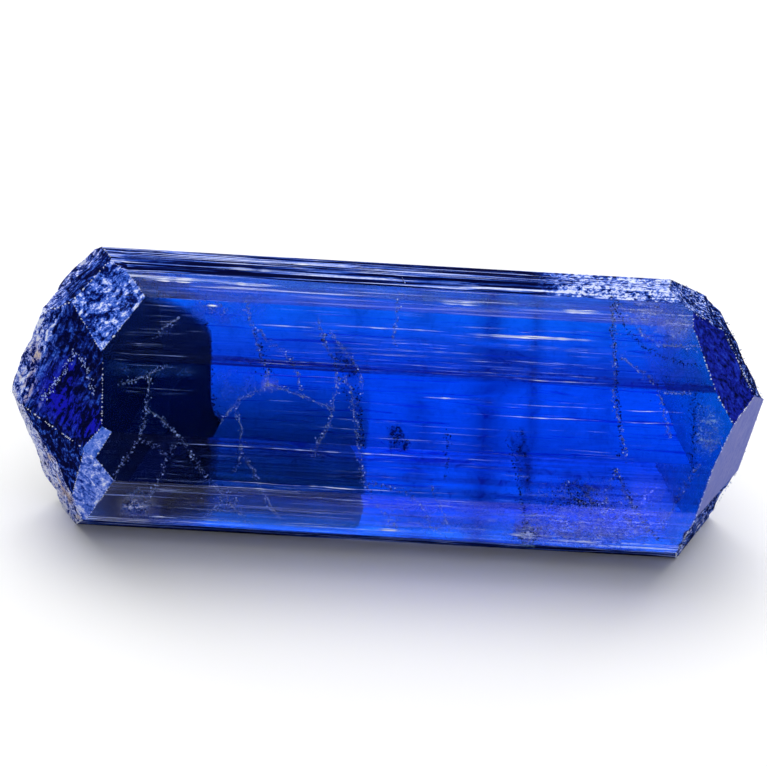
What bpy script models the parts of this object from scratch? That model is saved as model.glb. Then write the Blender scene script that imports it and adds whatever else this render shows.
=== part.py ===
"""Blue hydrothermal quartz: one crystal with a point at each end, lying on a prism face.

The crystal is a block of half-spaces. Every flat face is given the way a crystallographer would
give it: a bearing around the long axis, a lean of its normal from the +X end of that axis, and a
distance from the crystal's centre. The faces then get their relief: lengthwise growth ledges on
the prism, shallow pits on the frosted faces, and rough broken ground on the etched ones.

Axes: +X runs along the crystal, -Y is its front, +Z is up. It rests on z = 0.
"""
import math
import random

import bmesh
import bpy
from mathutils import Vector, noise

MM = 0.001

# Size of the block that the faces cut down, well clear of every face.
BLOCK_SIDE = 90 * MM

# Prism faces, parallel to the long axis: (bearing in degrees, distance in mm, finish).
# A bearing of 0 looks at the front, 90 straight up, -90 straight down.
PRISM_FACES = {
    "base": (-90.0, 10.20, "flat"),
    "low_front": (-54.6, 11.08, "ledged"),
    "lower_front": (-26.6, 10.95, "glassy"),
    "mid_front": (1.7, 11.05, "glassy"),
    "main_front": (44.1, 9.37, "glassy"),
    "shoulder": (56.1, 9.13, "glassy"),
    "shoulder_step": (71.9, 9.75, "glassy"),
    "shoulder_ledge": (73.6, 9.81, "glassy"),
    "crown": (78.6, 10.06, "ledged"),
    "ridge": (106.0, 10.76, "ledged"),
    "upper_back": (142.4, 10.08, "glassy"),
    "back": (190.0, 9.60, "glassy"),
    "lower_back": (-135.0, 9.76, "glassy"),
}

# Faces of the -X point: (bearing in degrees, lean in degrees, distance in mm, finish).
LEFT_FACES = {
    "left_main": (42.2, 136.1, 23.27, "etched"),
    "left_top": (96.5, 130.7, 23.00, "rough"),
    "left_diamond": (65.0, 103.1, 13.86, "pitted"),
    "left_strip": (8.9, 105.1, 16.61, "pitted"),
    "left_kite": (-19.3, 113.3, 18.95, "pitted"),
    "left_low": (-15.2, 142.7, 25.67, "etched"),
    "left_toe": (-48.9, 147.5, 26.16, "rough"),
    "left_tip": (149.5, 156.3, 27.07, "rough"),
    "left_back_top": (154.2, 129.6, 22.23, "rough"),
    "left_back": (197.7, 134.7, 19.58, "etched"),
    "left_back_low": (-118.0, 136.0, 23.60, "etched"),
}

# Faces of the +X point.
RIGHT_FACES = {
    "right_main": (72.6, 50.1, 22.77, "etched"),
    "right_satin": (-28.5, 23.9, 27.04, "satin"),
    "right_crest": (102.4, 59.0, 20.57, "rough"),
    "right_cheek": (102.9, 52.0, 22.53, "rough"),
    "right_rim": (101.0, 31.4, 26.78, "rough"),
    "right_toe": (-45.3, 31.8, 26.12, "rough"),
    "right_back_top": (144.9, 61.3, 21.02, "rough"),
    "right_back": (172.9, 51.3, 22.59, "etched"),
    "right_back_low": (-165.5, 43.0, 22.92, "etched"),
}

# Relief by finish: grid across and along the face, height of the relief, and its grain across
# and along, all in mm. The kind is ledges, lumps or pits.
FINISHES = {
    "flat": None,
    "glassy": {"cell": (1.0, 3.6), "height": 0.05, "grain": (1.6, 16.0), "kind": "ledge"},
    "ledged": {"cell": (0.50, 2.2), "height": 0.26, "grain": (1.1, 10.0), "kind": "ledge"},
    "satin": {"cell": (2.2, 2.2), "height": 0.05, "grain": (3.0, 3.0), "kind": "lump"},
    "etched": {"cell": (1.1, 1.1), "height": 0.10, "grain": (2.2, 2.2), "kind": "lump"},
    "pitted": {"cell": (0.6, 0.6), "height": 0.18, "grain": (1.4, 1.4), "kind": "pit"},
    "rough": {"cell": (0.65, 0.65), "height": 0.45, "grain": (1.5, 1.5), "kind": "lump"},
}

CELL_JITTER = 0.22         # share of a cell by which a grid line strays
FIRST_LINE = 0.8           # share of a cell between a face's edge and its first grid line
LAST_LINE = 0.4            # least share of a cell between the last grid line and the far edge
LEDGE_LEVELS = 3.0         # growth ledges step down through this many levels
LUMP_SINK = 0.35           # share of their height by which lumps sit below the flat face
FINE_LUMPS = 2.3           # small lumps are this many times finer than the large ones
FINE_SHARE = 0.35          # and make up this share of the height
PIT_DEPTH = 1.6            # noise is multiplied by this before the pits are cut
PIT_RIM = 0.1              # and lowered by this, which leaves fewer pits
SEED_STEP = 3.7            # distance in the noise between one face's relief and the next one's
BORDER_DEPTH = 0.36 * MM   # height of the lumps on an edge between two broken faces
BORDER_GRAIN = 2.0 * MM    # and their size
BORDER_SEED = 5.0
WELD = 0.02 * MM           # points closer than this become one

COLLECTION = "hydrothermal_quartz"
CRYSTAL = "crystal"
BLUE = (0.015, 0.055, 0.62, 1.0)
QUARTZ_IOR = 1.544


def clear_scene():
    """Remove every object of the scene."""
    for item in list(bpy.data.objects):
        bpy.data.objects.remove(item, do_unlink=True)


def face_table():
    """Every face as name: (unit normal, distance in metres, finish)."""
    table = {}
    for name, (bearing, distance, finish) in PRISM_FACES.items():
        table[name] = (normal_of(bearing, 90.0), distance * MM, finish)
    for name, (bearing, lean, distance, finish) in {**LEFT_FACES, **RIGHT_FACES}.items():
        table[name] = (normal_of(bearing, lean), distance * MM, finish)
    return table


def normal_of(bearing, lean):
    """Outward normal of a face from its bearing around the axis and its lean from +X."""
    around = math.radians(bearing)
    off_axis = math.radians(lean)
    return Vector((
        math.cos(off_axis),
        -math.sin(off_axis) * math.cos(around),
        math.sin(off_axis) * math.sin(around),
    ))


def cut_block(table):
    """Cut a cube down to the crystal, and mark each new face with its number in the table."""
    bm = bmesh.new()
    bmesh.ops.create_cube(bm, size=BLOCK_SIDE)
    mark = bm.faces.layers.int.new("face_number")
    for number, (normal, distance, _finish) in enumerate(table.values()):
        cut = bmesh.ops.bisect_plane(
            bm, geom=bm.verts[:] + bm.edges[:] + bm.faces[:],
            plane_co=normal * distance, plane_no=normal, clear_outer=True,
        )
        rim = [item for item in cut["geom_cut"] if isinstance(item, bmesh.types.BMEdge)]
        filled = bmesh.ops.edgeloop_fill(bm, edges=rim)
        for face in filled["faces"]:
            face[mark] = number
    bmesh.ops.recalc_face_normals(bm, faces=bm.faces[:])
    return bm, mark


def face_axes(normal):
    """Two directions in a face: across it, and along it towards the crystal's point or end."""
    along = Vector((1.0, 0.0, 0.0)) - normal * normal.x
    along.normalize()
    return normal.cross(along), along


def rule_face(bm, mark, number, normal, cell):
    """Score one face with a slightly uneven grid, across and along."""
    dice = random.Random(number)
    for direction, step in zip(face_axes(normal), cell):
        spacing = step * MM
        reach = [v.co.dot(direction) for f in bm.faces if f[mark] == number for v in f.verts]
        position = min(reach) + spacing * FIRST_LINE
        while position < max(reach) - spacing * LAST_LINE:
            faces = [f for f in bm.faces if f[mark] == number]
            edges = {e for f in faces for e in f.edges}
            points = {v for f in faces for v in f.verts}
            place = position + dice.uniform(-CELL_JITTER, CELL_JITTER) * spacing
            bmesh.ops.bisect_plane(
                bm, geom=faces + list(edges) + list(points),
                plane_co=direction * place, plane_no=direction,
            )
            position += spacing


def ledge_height(across, along, seed):
    """Long narrow growth ledges: noise stretched along the face and cut into levels, 0 to -1."""
    wave = 0.5 + 0.5 * noise.noise(Vector((across, along, seed)))
    return -math.floor(wave * LEDGE_LEVELS) / LEDGE_LEVELS


def lump_height(across, along, seed):
    """Broken ground: two scales of noise, about -1 to 0.3."""
    coarse = noise.noise(Vector((across, along, seed)))
    fine = noise.noise(Vector((across, along, seed)) * FINE_LUMPS)
    return (1.0 - FINE_SHARE) * coarse + FINE_SHARE * fine - LUMP_SINK


def pit_height(across, along, seed):
    """Etch pits: only the low half of the noise goes in, so the ground between stays flat."""
    return min(0.0, PIT_DEPTH * noise.noise(Vector((across, along, seed))) - PIT_RIM)


HEIGHTS = {"ledge": ledge_height, "lump": lump_height, "pit": pit_height}


def raise_relief(bm, mark, number, normal, finish):
    """Move the points inside one face along its normal by the relief of its finish."""
    across_way, along_way = face_axes(normal)
    across_grain, along_grain = (length * MM for length in finish["grain"])
    height_at = HEIGHTS[finish["kind"]]
    points = {v for f in bm.faces if f[mark] == number for v in f.verts}
    for point in points:
        if any(f[mark] != number for f in point.link_faces):
            continue
        across = point.co.dot(across_way) / across_grain
        along = point.co.dot(along_way) / along_grain
        height = height_at(across, along, number * SEED_STEP)
        point.co += normal * height * finish["height"] * MM


def soften_rough_borders(bm, mark, table):
    """Break up the edges where two rough or etched faces meet."""
    finishes = [finish for _normal, _distance, finish in table.values()]
    broken = {number for number, finish in enumerate(finishes) if finish in ("rough", "etched")}
    for point in bm.verts:
        numbers = {f[mark] for f in point.link_faces}
        if len(numbers) > 1 and numbers <= broken:
            lump = lump_height(*(point.co.yz / BORDER_GRAIN), BORDER_SEED)
            point.co += point.normal * lump * BORDER_DEPTH


def build_mesh():
    """The whole crystal as one closed mesh, with its centre of base at the origin."""
    table = face_table()
    bm, mark = cut_block(table)
    for number, (normal, _distance, finish) in enumerate(table.values()):
        if FINISHES[finish]:
            rule_face(bm, mark, number, normal, FINISHES[finish]["cell"])
    bmesh.ops.remove_doubles(bm, verts=bm.verts[:], dist=WELD)
    for number, (normal, _distance, finish) in enumerate(table.values()):
        if FINISHES[finish]:
            raise_relief(bm, mark, number, normal, FINISHES[finish])
    bm.normal_update()
    soften_rough_borders(bm, mark, table)
    bmesh.ops.triangulate(bm, faces=bm.faces[:])
    bmesh.ops.dissolve_degenerate(bm, dist=WELD, edges=bm.edges[:])
    bmesh.ops.triangulate(bm, faces=bm.faces[:])
    stand_on_origin(bm)
    bmesh.ops.recalc_face_normals(bm, faces=bm.faces[:])
    mesh = bpy.data.meshes.new(CRYSTAL)
    bm.to_mesh(mesh)
    bm.free()
    return mesh


def stand_on_origin(bm):
    """Bring the middle of the crystal's footprint to the origin and its base to z = 0."""
    lows = [min(v.co[axis] for v in bm.verts) for axis in range(3)]
    highs = [max(v.co[axis] for v in bm.verts) for axis in range(3)]
    shift = Vector((-(lows[0] + highs[0]) / 2, -(lows[1] + highs[1]) / 2, -lows[2]))
    bmesh.ops.translate(bm, verts=bm.verts[:], vec=shift)


def quartz_material():
    """Clear deep blue quartz."""
    material = bpy.data.materials.new("blue_quartz")
    material.use_nodes = True
    shader = material.node_tree.nodes["Principled BSDF"]
    shader.inputs["Base Color"].default_value = BLUE
    shader.inputs["Roughness"].default_value = 0.06
    shader.inputs["Metallic"].default_value = 0.0
    shader.inputs["IOR"].default_value = QUARTZ_IOR
    shader.inputs["Transmission Weight"].default_value = 0.9
    return material


def main():
    """Build the crystal in its own collection."""
    clear_scene()
    collection = bpy.data.collections.new(COLLECTION)
    bpy.context.scene.collection.children.link(collection)
    mesh = build_mesh()
    mesh.materials.append(quartz_material())
    collection.objects.link(bpy.data.objects.new(CRYSTAL, mesh))


main()
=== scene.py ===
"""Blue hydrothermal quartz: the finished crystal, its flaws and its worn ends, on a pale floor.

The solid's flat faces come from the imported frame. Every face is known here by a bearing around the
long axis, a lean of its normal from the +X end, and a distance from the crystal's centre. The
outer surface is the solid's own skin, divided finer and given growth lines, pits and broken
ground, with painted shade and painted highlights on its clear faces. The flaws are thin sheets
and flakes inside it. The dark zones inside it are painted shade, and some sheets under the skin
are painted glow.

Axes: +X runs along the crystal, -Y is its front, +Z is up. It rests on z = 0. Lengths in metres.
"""

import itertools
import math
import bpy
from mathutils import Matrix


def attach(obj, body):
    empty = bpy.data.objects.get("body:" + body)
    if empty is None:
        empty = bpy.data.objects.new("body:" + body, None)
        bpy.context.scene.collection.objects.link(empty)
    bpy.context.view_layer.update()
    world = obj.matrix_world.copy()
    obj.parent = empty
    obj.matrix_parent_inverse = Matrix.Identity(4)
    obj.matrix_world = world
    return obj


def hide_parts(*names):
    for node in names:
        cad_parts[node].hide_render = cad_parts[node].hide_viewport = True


bl_info = {
    "name": "Blue Quartz Crystal",
    "version": (1, 0, 0),
    "blender": (4, 5, 0),
    "location": "3D View > Sidebar > Quartz",
    "description": "Builds the finish, the flaws and the stage of a doubly pointed quartz crystal",
    "category": "Object",
}

import bpy
import numpy as np
from mathutils import Matrix, Vector

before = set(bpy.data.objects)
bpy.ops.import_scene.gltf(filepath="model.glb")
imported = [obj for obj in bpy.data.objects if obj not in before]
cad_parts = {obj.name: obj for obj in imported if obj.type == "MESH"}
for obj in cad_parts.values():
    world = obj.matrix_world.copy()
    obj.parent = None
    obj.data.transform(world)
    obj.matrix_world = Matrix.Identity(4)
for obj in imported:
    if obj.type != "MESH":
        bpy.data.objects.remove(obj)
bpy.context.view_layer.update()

MM = 0.001
NODE = "crystal"
BODY = "root"
QUARTZ_IOR = 1.544
WHITE = (1.0, 1.0, 1.0)

# The point that every face's distance is measured from.
CENTRE = np.array([-0.198, 0.410, 10.200]) * MM

# Faces as name: (bearing in degrees, lean in degrees, distance in mm, finish).
FACES = {
    "base": (-90.0, 90.0, 10.20, "flat"),
    "low_front": (-54.6, 90.0, 11.08, "ledged"),
    "lower_front": (-26.6, 90.0, 10.95, "glassy"),
    "mid_front": (1.7, 90.0, 11.05, "glassy"),
    "main_front": (44.1, 90.0, 9.37, "glassy"),
    "shoulder": (56.1, 90.0, 9.13, "glassy"),
    "shoulder_step": (71.9, 90.0, 9.75, "glassy"),
    "shoulder_ledge": (73.6, 90.0, 9.81, "glassy"),
    "crown": (78.6, 90.0, 10.06, "ledged"),
    "ridge": (106.0, 90.0, 10.76, "ledged"),
    "upper_back": (142.4, 90.0, 10.08, "glassy"),
    "back": (190.0, 90.0, 9.60, "glassy"),
    "lower_back": (-135.0, 90.0, 9.76, "glassy"),
    "left_main": (42.2, 136.1, 23.27, "etched"),
    "left_top": (96.5, 130.7, 23.00, "rough"),
    "left_diamond": (65.0, 103.1, 13.86, "pitted"),
    "left_strip": (8.9, 105.1, 16.61, "pitted"),
    "left_kite": (-19.3, 113.3, 18.95, "pitted"),
    "left_low": (-15.2, 142.7, 25.67, "etched"),
    "left_toe": (-48.9, 147.5, 26.16, "rough"),
    "left_tip": (149.5, 156.3, 27.07, "rough"),
    "left_back_top": (154.2, 129.6, 22.23, "rough"),
    "left_back": (197.7, 134.7, 19.58, "etched"),
    "left_back_low": (-118.0, 136.0, 23.60, "etched"),
    "right_main": (72.6, 50.1, 22.77, "etched"),
    "right_satin": (-28.5, 23.9, 27.04, "satin"),
    "right_crest": (102.4, 59.0, 20.57, "rough"),
    "right_cheek": (102.9, 52.0, 22.53, "rough"),
    "right_rim": (101.0, 31.4, 26.78, "rough"),
    "right_toe": (-45.3, 31.8, 26.12, "rough"),
    "right_back_top": (144.9, 61.3, 21.02, "rough"),
    "right_back": (172.9, 51.3, 22.59, "etched"),
    "right_back_low": (-165.5, 43.0, 22.92, "etched"),
}
FACE_NAMES = list(FACES)
FINISHES = np.array([row[3] for row in FACES.values()])
PARALLEL = 1e-6              # a line whose slope against a plane is less runs along it


def face_planes():
    """Unit normals (one row a face) and distances from the centre, in metres."""
    bearing, lean = np.radians([row[:2] for row in FACES.values()]).T
    normals = np.column_stack((
        np.cos(lean),
        -np.sin(lean) * np.cos(bearing),
        np.sin(lean) * np.sin(bearing),
    ))
    return normals, np.array([row[2] for row in FACES.values()]) * MM


NORMALS, DISTANCES = face_planes()


def face_slack(points):
    """Distance of each point (row) inside the plane of each face (column)."""
    return DISTANCES - (points - CENTRE) @ NORMALS.T


def face_numbers(names):
    """Places of the named faces in the table of faces."""
    return np.array([FACE_NAMES.index(name) for name in names])


def on_faces(number, names):
    """Whether each face number is that of one of the named faces."""
    return np.isin(number, face_numbers(names))


# The front view, from a little left of the front and 30 degrees up. Flaws are laid out on it in
# millimetres: first along the crystal, then up, from the crystal's centre.
VIEW_YAW = math.radians(4.0)
VIEW_HEIGHT = math.radians(30.0)
EAST = np.array([1.0, 0.0, 0.0])
LEVEL = np.array([0.0, -math.cos(VIEW_HEIGHT), math.sin(VIEW_HEIGHT)])
RISE = np.array([0.0, math.sin(VIEW_HEIGHT), math.cos(VIEW_HEIGHT)])
RUN = EAST * math.cos(VIEW_YAW) + LEVEL * math.sin(VIEW_YAW)
VIEW = LEVEL * math.cos(VIEW_YAW) - EAST * math.sin(VIEW_YAW)


def bent_inwards(face):
    """Direction inside the quartz of a line of sight that enters at a face: the part along the
    face shrinks by the refraction index, the rest goes inwards."""
    normal = NORMALS[FACE_NAMES.index(face)]
    along = ((VIEW @ normal) * normal - VIEW) / QUARTZ_IOR
    return along - normal * math.sqrt(1.0 - along @ along)


INWARDS = bent_inwards("main_front")


def run_to_skin(points, direction):
    """Distance from points inside the crystal to its flat faces, along one direction: the least,
    over the planes ahead, of the slack over the speed at which the plane draws near."""
    closing = NORMALS @ direction
    ahead = closing > PARALLEL
    return (face_slack(points)[:, ahead] / closing[ahead]).min(axis=1)


def on_skin(plan):
    """Points of the front face of the crystal that show at these places of the front view."""
    plan = np.asarray(plan, dtype=float) * MM
    flat = CENTRE + plan[:, :1] * RUN + plan[:, 1:] * RISE
    return flat + VIEW * run_to_skin(flat, VIEW)[:, None]


# ---------------------------------------------------------------- numbers on a lattice

WORD = 2**32
AXIS_FACTORS = np.array([73856093, 19349663, 83492791], dtype=np.uint64)
SEED_FACTOR = 2654435761
MIXING_STEPS = ((15, 2246822519), (13, 3266489917))     # (bits to shift by, factor)
LAST_SHIFT = 16
LATTICE_ORIGIN = 4096.0      # keeps every corner above nothing


def lattice_random(corner, seed):
    """A repeatable number from 0 to 1 for each whole-number corner, by mixing its bits."""
    x, y, z = (corner.astype(np.uint64) * AXIS_FACTORS).T
    mixed = x ^ y ^ z ^ np.uint64(seed * SEED_FACTOR % WORD)
    for shift, factor in MIXING_STEPS:
        mixed = (mixed ^ (mixed >> np.uint64(shift))) * np.uint64(factor) % np.uint64(WORD)
    return (mixed ^ (mixed >> np.uint64(LAST_SHIFT))).astype(np.float64) / WORD


def value_noise(points, cell, seed):
    """Smooth noise from -1 to 1: random numbers on the corners of a lattice with the given cell,
    blended inside each cell by the smooth step of the point's place in it."""
    place = points / np.asarray(cell, dtype=float) + LATTICE_ORIGIN
    corner = np.floor(place)
    part = place - corner
    blend = part * part * (3.0 - 2.0 * part)
    total = np.zeros(len(points))
    for step in np.ndindex(2, 2, 2):
        weight = np.prod(np.where(np.array(step) == 1, blend, 1.0 - blend), axis=1)
        total += weight * lattice_random(corner + np.array(step), seed)
    return 2.0 * total - 1.0


# ---------------------------------------------------------------- outer surface

FACE_NEARNESS = 0.25 * MM    # distance from a face's plane that weighs one
TILT_WEIGHT = 6.0            # weight of a tilt against it, as one less the cosine
WELD_GRAIN = 2e-6            # points closer than this are one
FLATTEST_TURN = 1e-4         # least squared sine between two faces in a distance to their edge
LEAST_LENGTH = 1e-12         # that a vector is divided by


def solid_triangles():
    """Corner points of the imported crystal's triangles, as an array (triangle, corner, axis)."""
    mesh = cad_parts[NODE].data
    mesh.calc_loop_triangles()
    points = np.empty(len(mesh.vertices) * 3)
    mesh.vertices.foreach_get("co", points)
    corners = np.empty(len(mesh.loop_triangles) * 3, dtype=np.int64)
    mesh.loop_triangles.foreach_get("vertices", corners)
    return points.reshape(-1, 3)[corners].reshape(-1, 3, 3)


def nearest_face(points, normals):
    """For each point with its surface normal, the number of the crystal face it belongs to: the
    one with the least weighed sum of distance from its plane and tilt against it."""
    tilt = 1.0 - normals @ NORMALS.T
    return np.argmin(np.abs(face_slack(points)) / FACE_NEARNESS + tilt * TILT_WEIGHT, axis=1)


def divide_triangles(triangles, parts):
    """Divides every triangle ABC into parts x parts smaller ones, at the points
    A + (B - A) i / parts + (C - A) j / parts for whole i and j with i + j <= parts."""
    steps = [(i, j) for i in range(parts + 1) for j in range(parts + 1 - i)]
    number = {step: index for index, step in enumerate(steps)}
    small = []
    for i, j in steps:
        if i + j < parts:
            small.append((number[i, j], number[i + 1, j], number[i, j + 1]))
        if i + j < parts - 1:
            small.append((number[i + 1, j], number[i + 1, j + 1], number[i, j + 1]))
    share = np.array(steps) / parts
    weights = np.column_stack((1.0 - share.sum(axis=1), share))
    points = np.einsum("kc,tcx->tkx", weights, triangles)
    corners = np.array(small)[None, :, :] + (np.arange(len(triangles)) * len(steps))[:, None, None]
    return points.reshape(-1, 3), corners.reshape(-1, 3)


def weld(points, corners):
    """Joins points that round to the same place on a fine lattice, and drops what falls shut."""
    keys = np.round(points / WELD_GRAIN).astype(np.int64)
    _unique, first, where = np.unique(keys, axis=0, return_index=True, return_inverse=True)
    corners = where.reshape(-1)[corners]
    whole = (
        (corners[:, 0] != corners[:, 1])
        & (corners[:, 1] != corners[:, 2])
        & (corners[:, 2] != corners[:, 0])
    )
    return points[first], corners[whole]


def surface_normals(points, corners):
    """Unit normal of each triangle, and of each point as the mean over its triangles."""
    a, b, c = (points[corners[:, k]] for k in range(3))
    flat = np.cross(b - a, c - a)
    at_points = np.zeros_like(points)
    for k in range(3):
        np.add.at(at_points, corners[:, k], flat)
    return unit(flat), unit(at_points)


def unit(vectors):
    """The same directions with length one."""
    length = np.linalg.norm(vectors, axis=-1, keepdims=True)
    return vectors / np.maximum(length, LEAST_LENGTH)


def face_coordinates(points, number):
    """Place of each point on its face in metres: along the crystal's run, and across it."""
    normal = NORMALS[number]
    along = unit(EAST - normal * normal[:, :1])
    across = np.cross(normal, along)
    local = points - CENTRE
    return (local * along).sum(axis=1), (local * across).sum(axis=1)


def edge_distance(points, number, names=FACE_NAMES):
    """Distance along its face from each point to its nearest edge with one of the named faces:
    the slack under that face's plane over the sine of the angle between the two."""
    others = face_numbers(names)
    sine = np.sqrt(np.clip(1.0 - (NORMALS[number] @ NORMALS[others].T) ** 2, FLATTEST_TURN, None))
    away = np.where(others == number[:, None], np.inf, face_slack(points)[:, others] / sine)
    return np.clip(away.min(axis=1), 0.0, None)


# Noise of the fine relief, as rows of (share, cells along and across in mm, seed).
GROWTH_LINES = ((0.5, (14.0, 0.9), 11), (0.35, (9.0, 0.42), 12), (0.15, (5.0, 0.22), 13))
HILLS = ((1.0, (1.1, 1.1), 14),)
GRIT = ((1.0, (0.45, 0.45), 15),)
ETCHED_MIX = (0.7, 0.3)      # shares of hills and of grit
ROUGH_MIX = (0.4, 0.6)
PIT_LEVEL = -0.2             # grit noise under which a pit goes down
FACE_OFFSET = 7.31 * MM      # sets the noise of each face apart from its neighbours'
RELIEF_HEIGHTS = {           # in mm
    "glassy": 0.022, "ledged": 0.05, "satin": 0.01, "etched": 0.03, "pitted": 0.04, "rough": 0.10,
}
RELIEF_FADE = 0.5 * MM       # from an edge, over which the relief grows to its full height
RELIEF_AT_EDGE = 0.2         # share of its height that it has at an edge


def relief(points, number):
    """Height of the fine relief at each point, in metres, by the finish of its face.

    glassy, ledged: growth lines, noise stretched along the crystal, in three widths.
    etched, satin: low hillocks. pitted, rough: pits and broken ground. flat: none."""
    along, across = face_coordinates(points, number)
    flat = np.column_stack((along, across, number * FACE_OFFSET))
    lines, hills, grit = (
        sum(share * value_noise(flat, np.array([*cell, 1.0]) * MM, seed) for share, cell, seed in rows)
        for rows in (GROWTH_LINES, HILLS, GRIT)
    )
    shapes = {
        "glassy": lines, "ledged": lines, "satin": hills,
        "etched": ETCHED_MIX[0] * hills + ETCHED_MIX[1] * grit,
        "pitted": np.minimum(0.0, grit - PIT_LEVEL),
        "rough": ROUGH_MIX[0] * hills + ROUGH_MIX[1] * grit,
    }
    finish = FINISHES[number]
    height = np.select(
        [finish == name for name in shapes],
        [shape * RELIEF_HEIGHTS[name] * MM for name, shape in shapes.items()],
    )
    return height * np.clip(edge_distance(points, number) / RELIEF_FADE, RELIEF_AT_EDGE, 1.0)


def make_mesh(name, points, corners, smooth_angle=None):
    """A mesh of triangles from whole arrays, smooth except where it turns by more than the angle."""
    mesh = bpy.data.meshes.new(name)
    mesh.vertices.add(len(points))
    mesh.vertices.foreach_set("co", np.ascontiguousarray(points, dtype=np.float32).ravel())
    mesh.loops.add(corners.size)
    mesh.loops.foreach_set("vertex_index", corners.astype(np.int32).ravel())
    mesh.polygons.add(len(corners))
    mesh.polygons.foreach_set("loop_start", np.arange(0, corners.size, 3, dtype=np.int32))
    mesh.update(calc_edges=True)
    if smooth_angle is not None:
        mesh.shade_smooth()
        mesh.set_sharp_from_angle(angle=smooth_angle)
    return mesh


def add_piece(mesh, material):
    """Puts a finished mesh into the scene under its own name, riding on the crystal's body."""
    mesh.materials.append(material)
    piece = bpy.data.objects.new(mesh.name, mesh)
    bpy.context.scene.collection.objects.link(piece)
    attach(piece, BODY)
    return piece


def write_attributes(mesh, domain, **numbers):
    """Stores one number for each point, corner or face of the mesh under each name."""
    for name, values in numbers.items():
        layer = mesh.attributes.new(name, "FLOAT", domain)
        layer.data.foreach_set("value", values.astype(np.float32))


# ---------------------------------------------------------------- node trees

def new_material(name):
    """A material with its node tree and its Principled shader."""
    material = bpy.data.materials.new(name)
    material.use_nodes = True
    return material, material.node_tree, material.node_tree.nodes["Principled BSDF"]


def put(tree, kind, inputs, **settings):
    """Adds a node, sets its options, and sets or links its inputs; returns its first output."""
    item = tree.nodes.new(kind)
    for key, value in settings.items():
        setattr(item, key, value)
    feed(tree, item, inputs)
    return item.outputs[0]


def feed(tree, item, inputs):
    """Links each input that is given a socket, and sets each that is given a value."""
    for key, value in inputs.items():
        if isinstance(value, bpy.types.NodeSocket):
            tree.links.new(value, item.inputs[key])
        else:
            item.inputs[key].default_value = value


def object_place(tree, scale=(1.0, 1.0, 1.0)):
    """Object coordinates in millimetres, each times its scale."""
    place = tree.nodes.new("ShaderNodeTexCoord").outputs["Object"]
    whole = tuple(value / MM for value in scale)
    return put(tree, "ShaderNodeMapping", {"Vector": place, "Scale": whole})


def slanted_place(tree, way, scale):
    """Object coordinates in millimetres, turned so that x runs this way, each times its scale."""
    place = tree.nodes.new("ShaderNodeTexCoord").outputs["Object"]
    turn = Vector(way).to_track_quat("X", "Z").to_euler()
    whole = tuple(MM / value for value in scale)
    return put(
        tree, "ShaderNodeMapping", {"Vector": place, "Rotation": turn, "Scale": whole},
        vector_type="TEXTURE",
    )


def noise(tree, place, scale, detail=4.0, roughness=0.6, distortion=0.0):
    """Noise from about 0.2 to 0.8 with its bumps at this many to a millimetre."""
    return put(tree, "ShaderNodeTexNoise", {
        "Vector": place, "Scale": scale, "Detail": detail,
        "Roughness": roughness, "Distortion": distortion,
    })


def ramp(tree, value, low, high, start=0.0, end=1.0):
    """Smooth step of a value from start at low to end at high."""
    return put(tree, "ShaderNodeMapRange", {
        "Value": value, "From Min": low, "From Max": high, "To Min": start, "To Max": end,
    }, interpolation_type="SMOOTHSTEP")


def calc(tree, operation, first, *others):
    """Arithmetic on values or sockets, from left to right."""
    for other in others:
        first = put(tree, "ShaderNodeMath", {0: first, 1: other}, operation=operation)
    return first


def plus(tree, *values):
    """Sum of the values."""
    return calc(tree, "ADD", *values)


def times(tree, *values):
    """Product of the values."""
    return calc(tree, "MULTIPLY", *values)


def clamp(tree, value, high=1.0):
    """The value kept between nothing and the high."""
    return put(tree, "ShaderNodeClamp", {"Value": value, "Min": 0.0, "Max": high})


def absorb(tree, colour, density):
    """Makes the inside absorb light: the colour is what white becomes, the density per metre."""
    volume = put(tree, "ShaderNodeVolumeAbsorption", {"Color": (*colour, 1.0), "Density": density})
    tree.links.new(volume, tree.nodes["Material Output"].inputs["Volume"])


def blend(tree, share, first, second):
    """Mixes two colours by a share from 0 to 1."""
    item = tree.nodes.new("ShaderNodeMix")
    item.data_type = "RGBA"
    colours = [socket for socket in item.inputs if socket.type == "RGBA"]
    tree.links.new(share, item.inputs[0])
    for socket, colour in zip(colours, (first, second)):
        if isinstance(colour, bpy.types.NodeSocket):
            tree.links.new(colour, socket)
        else:
            socket.default_value = (*colour, 1.0)
    return next(socket for socket in item.outputs if socket.type == "RGBA")


def palette(tree, value, colours):
    """Colour by a value from 0 to 1, which runs through the colours at even steps."""
    item = tree.nodes.new("ShaderNodeValToRGB")
    marks = item.color_ramp.elements
    places = [count / (len(colours) - 1) for count in range(len(colours))]
    for place in places[1:-1]:
        marks.new(place)
    for mark, colour in zip(marks, colours):
        mark.color = (*colour, 1.0)
    tree.links.new(value, item.inputs["Fac"])
    return item.outputs["Color"]


def read_attributes(tree, *names):
    """The number that the mesh stores under each name."""
    items = [tree.nodes.new("ShaderNodeAttribute") for _name in names]
    for item, name in zip(items, names):
        item.attribute_name = name
    return [item.outputs["Fac"] for item in items]


# Colours that the clear quartz is darkened towards by painted shade, and by painted shade along the
# lengthwise lines.
SHADED_GLASS = (0.0, 0.01, 0.12)
LINE_SHADE = (0.01, 0.04, 0.22)
FROST_MOST = 0.97            # the share that even the densest frost scatters
BUMP_DEPTH = 0.08 * MM


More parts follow.
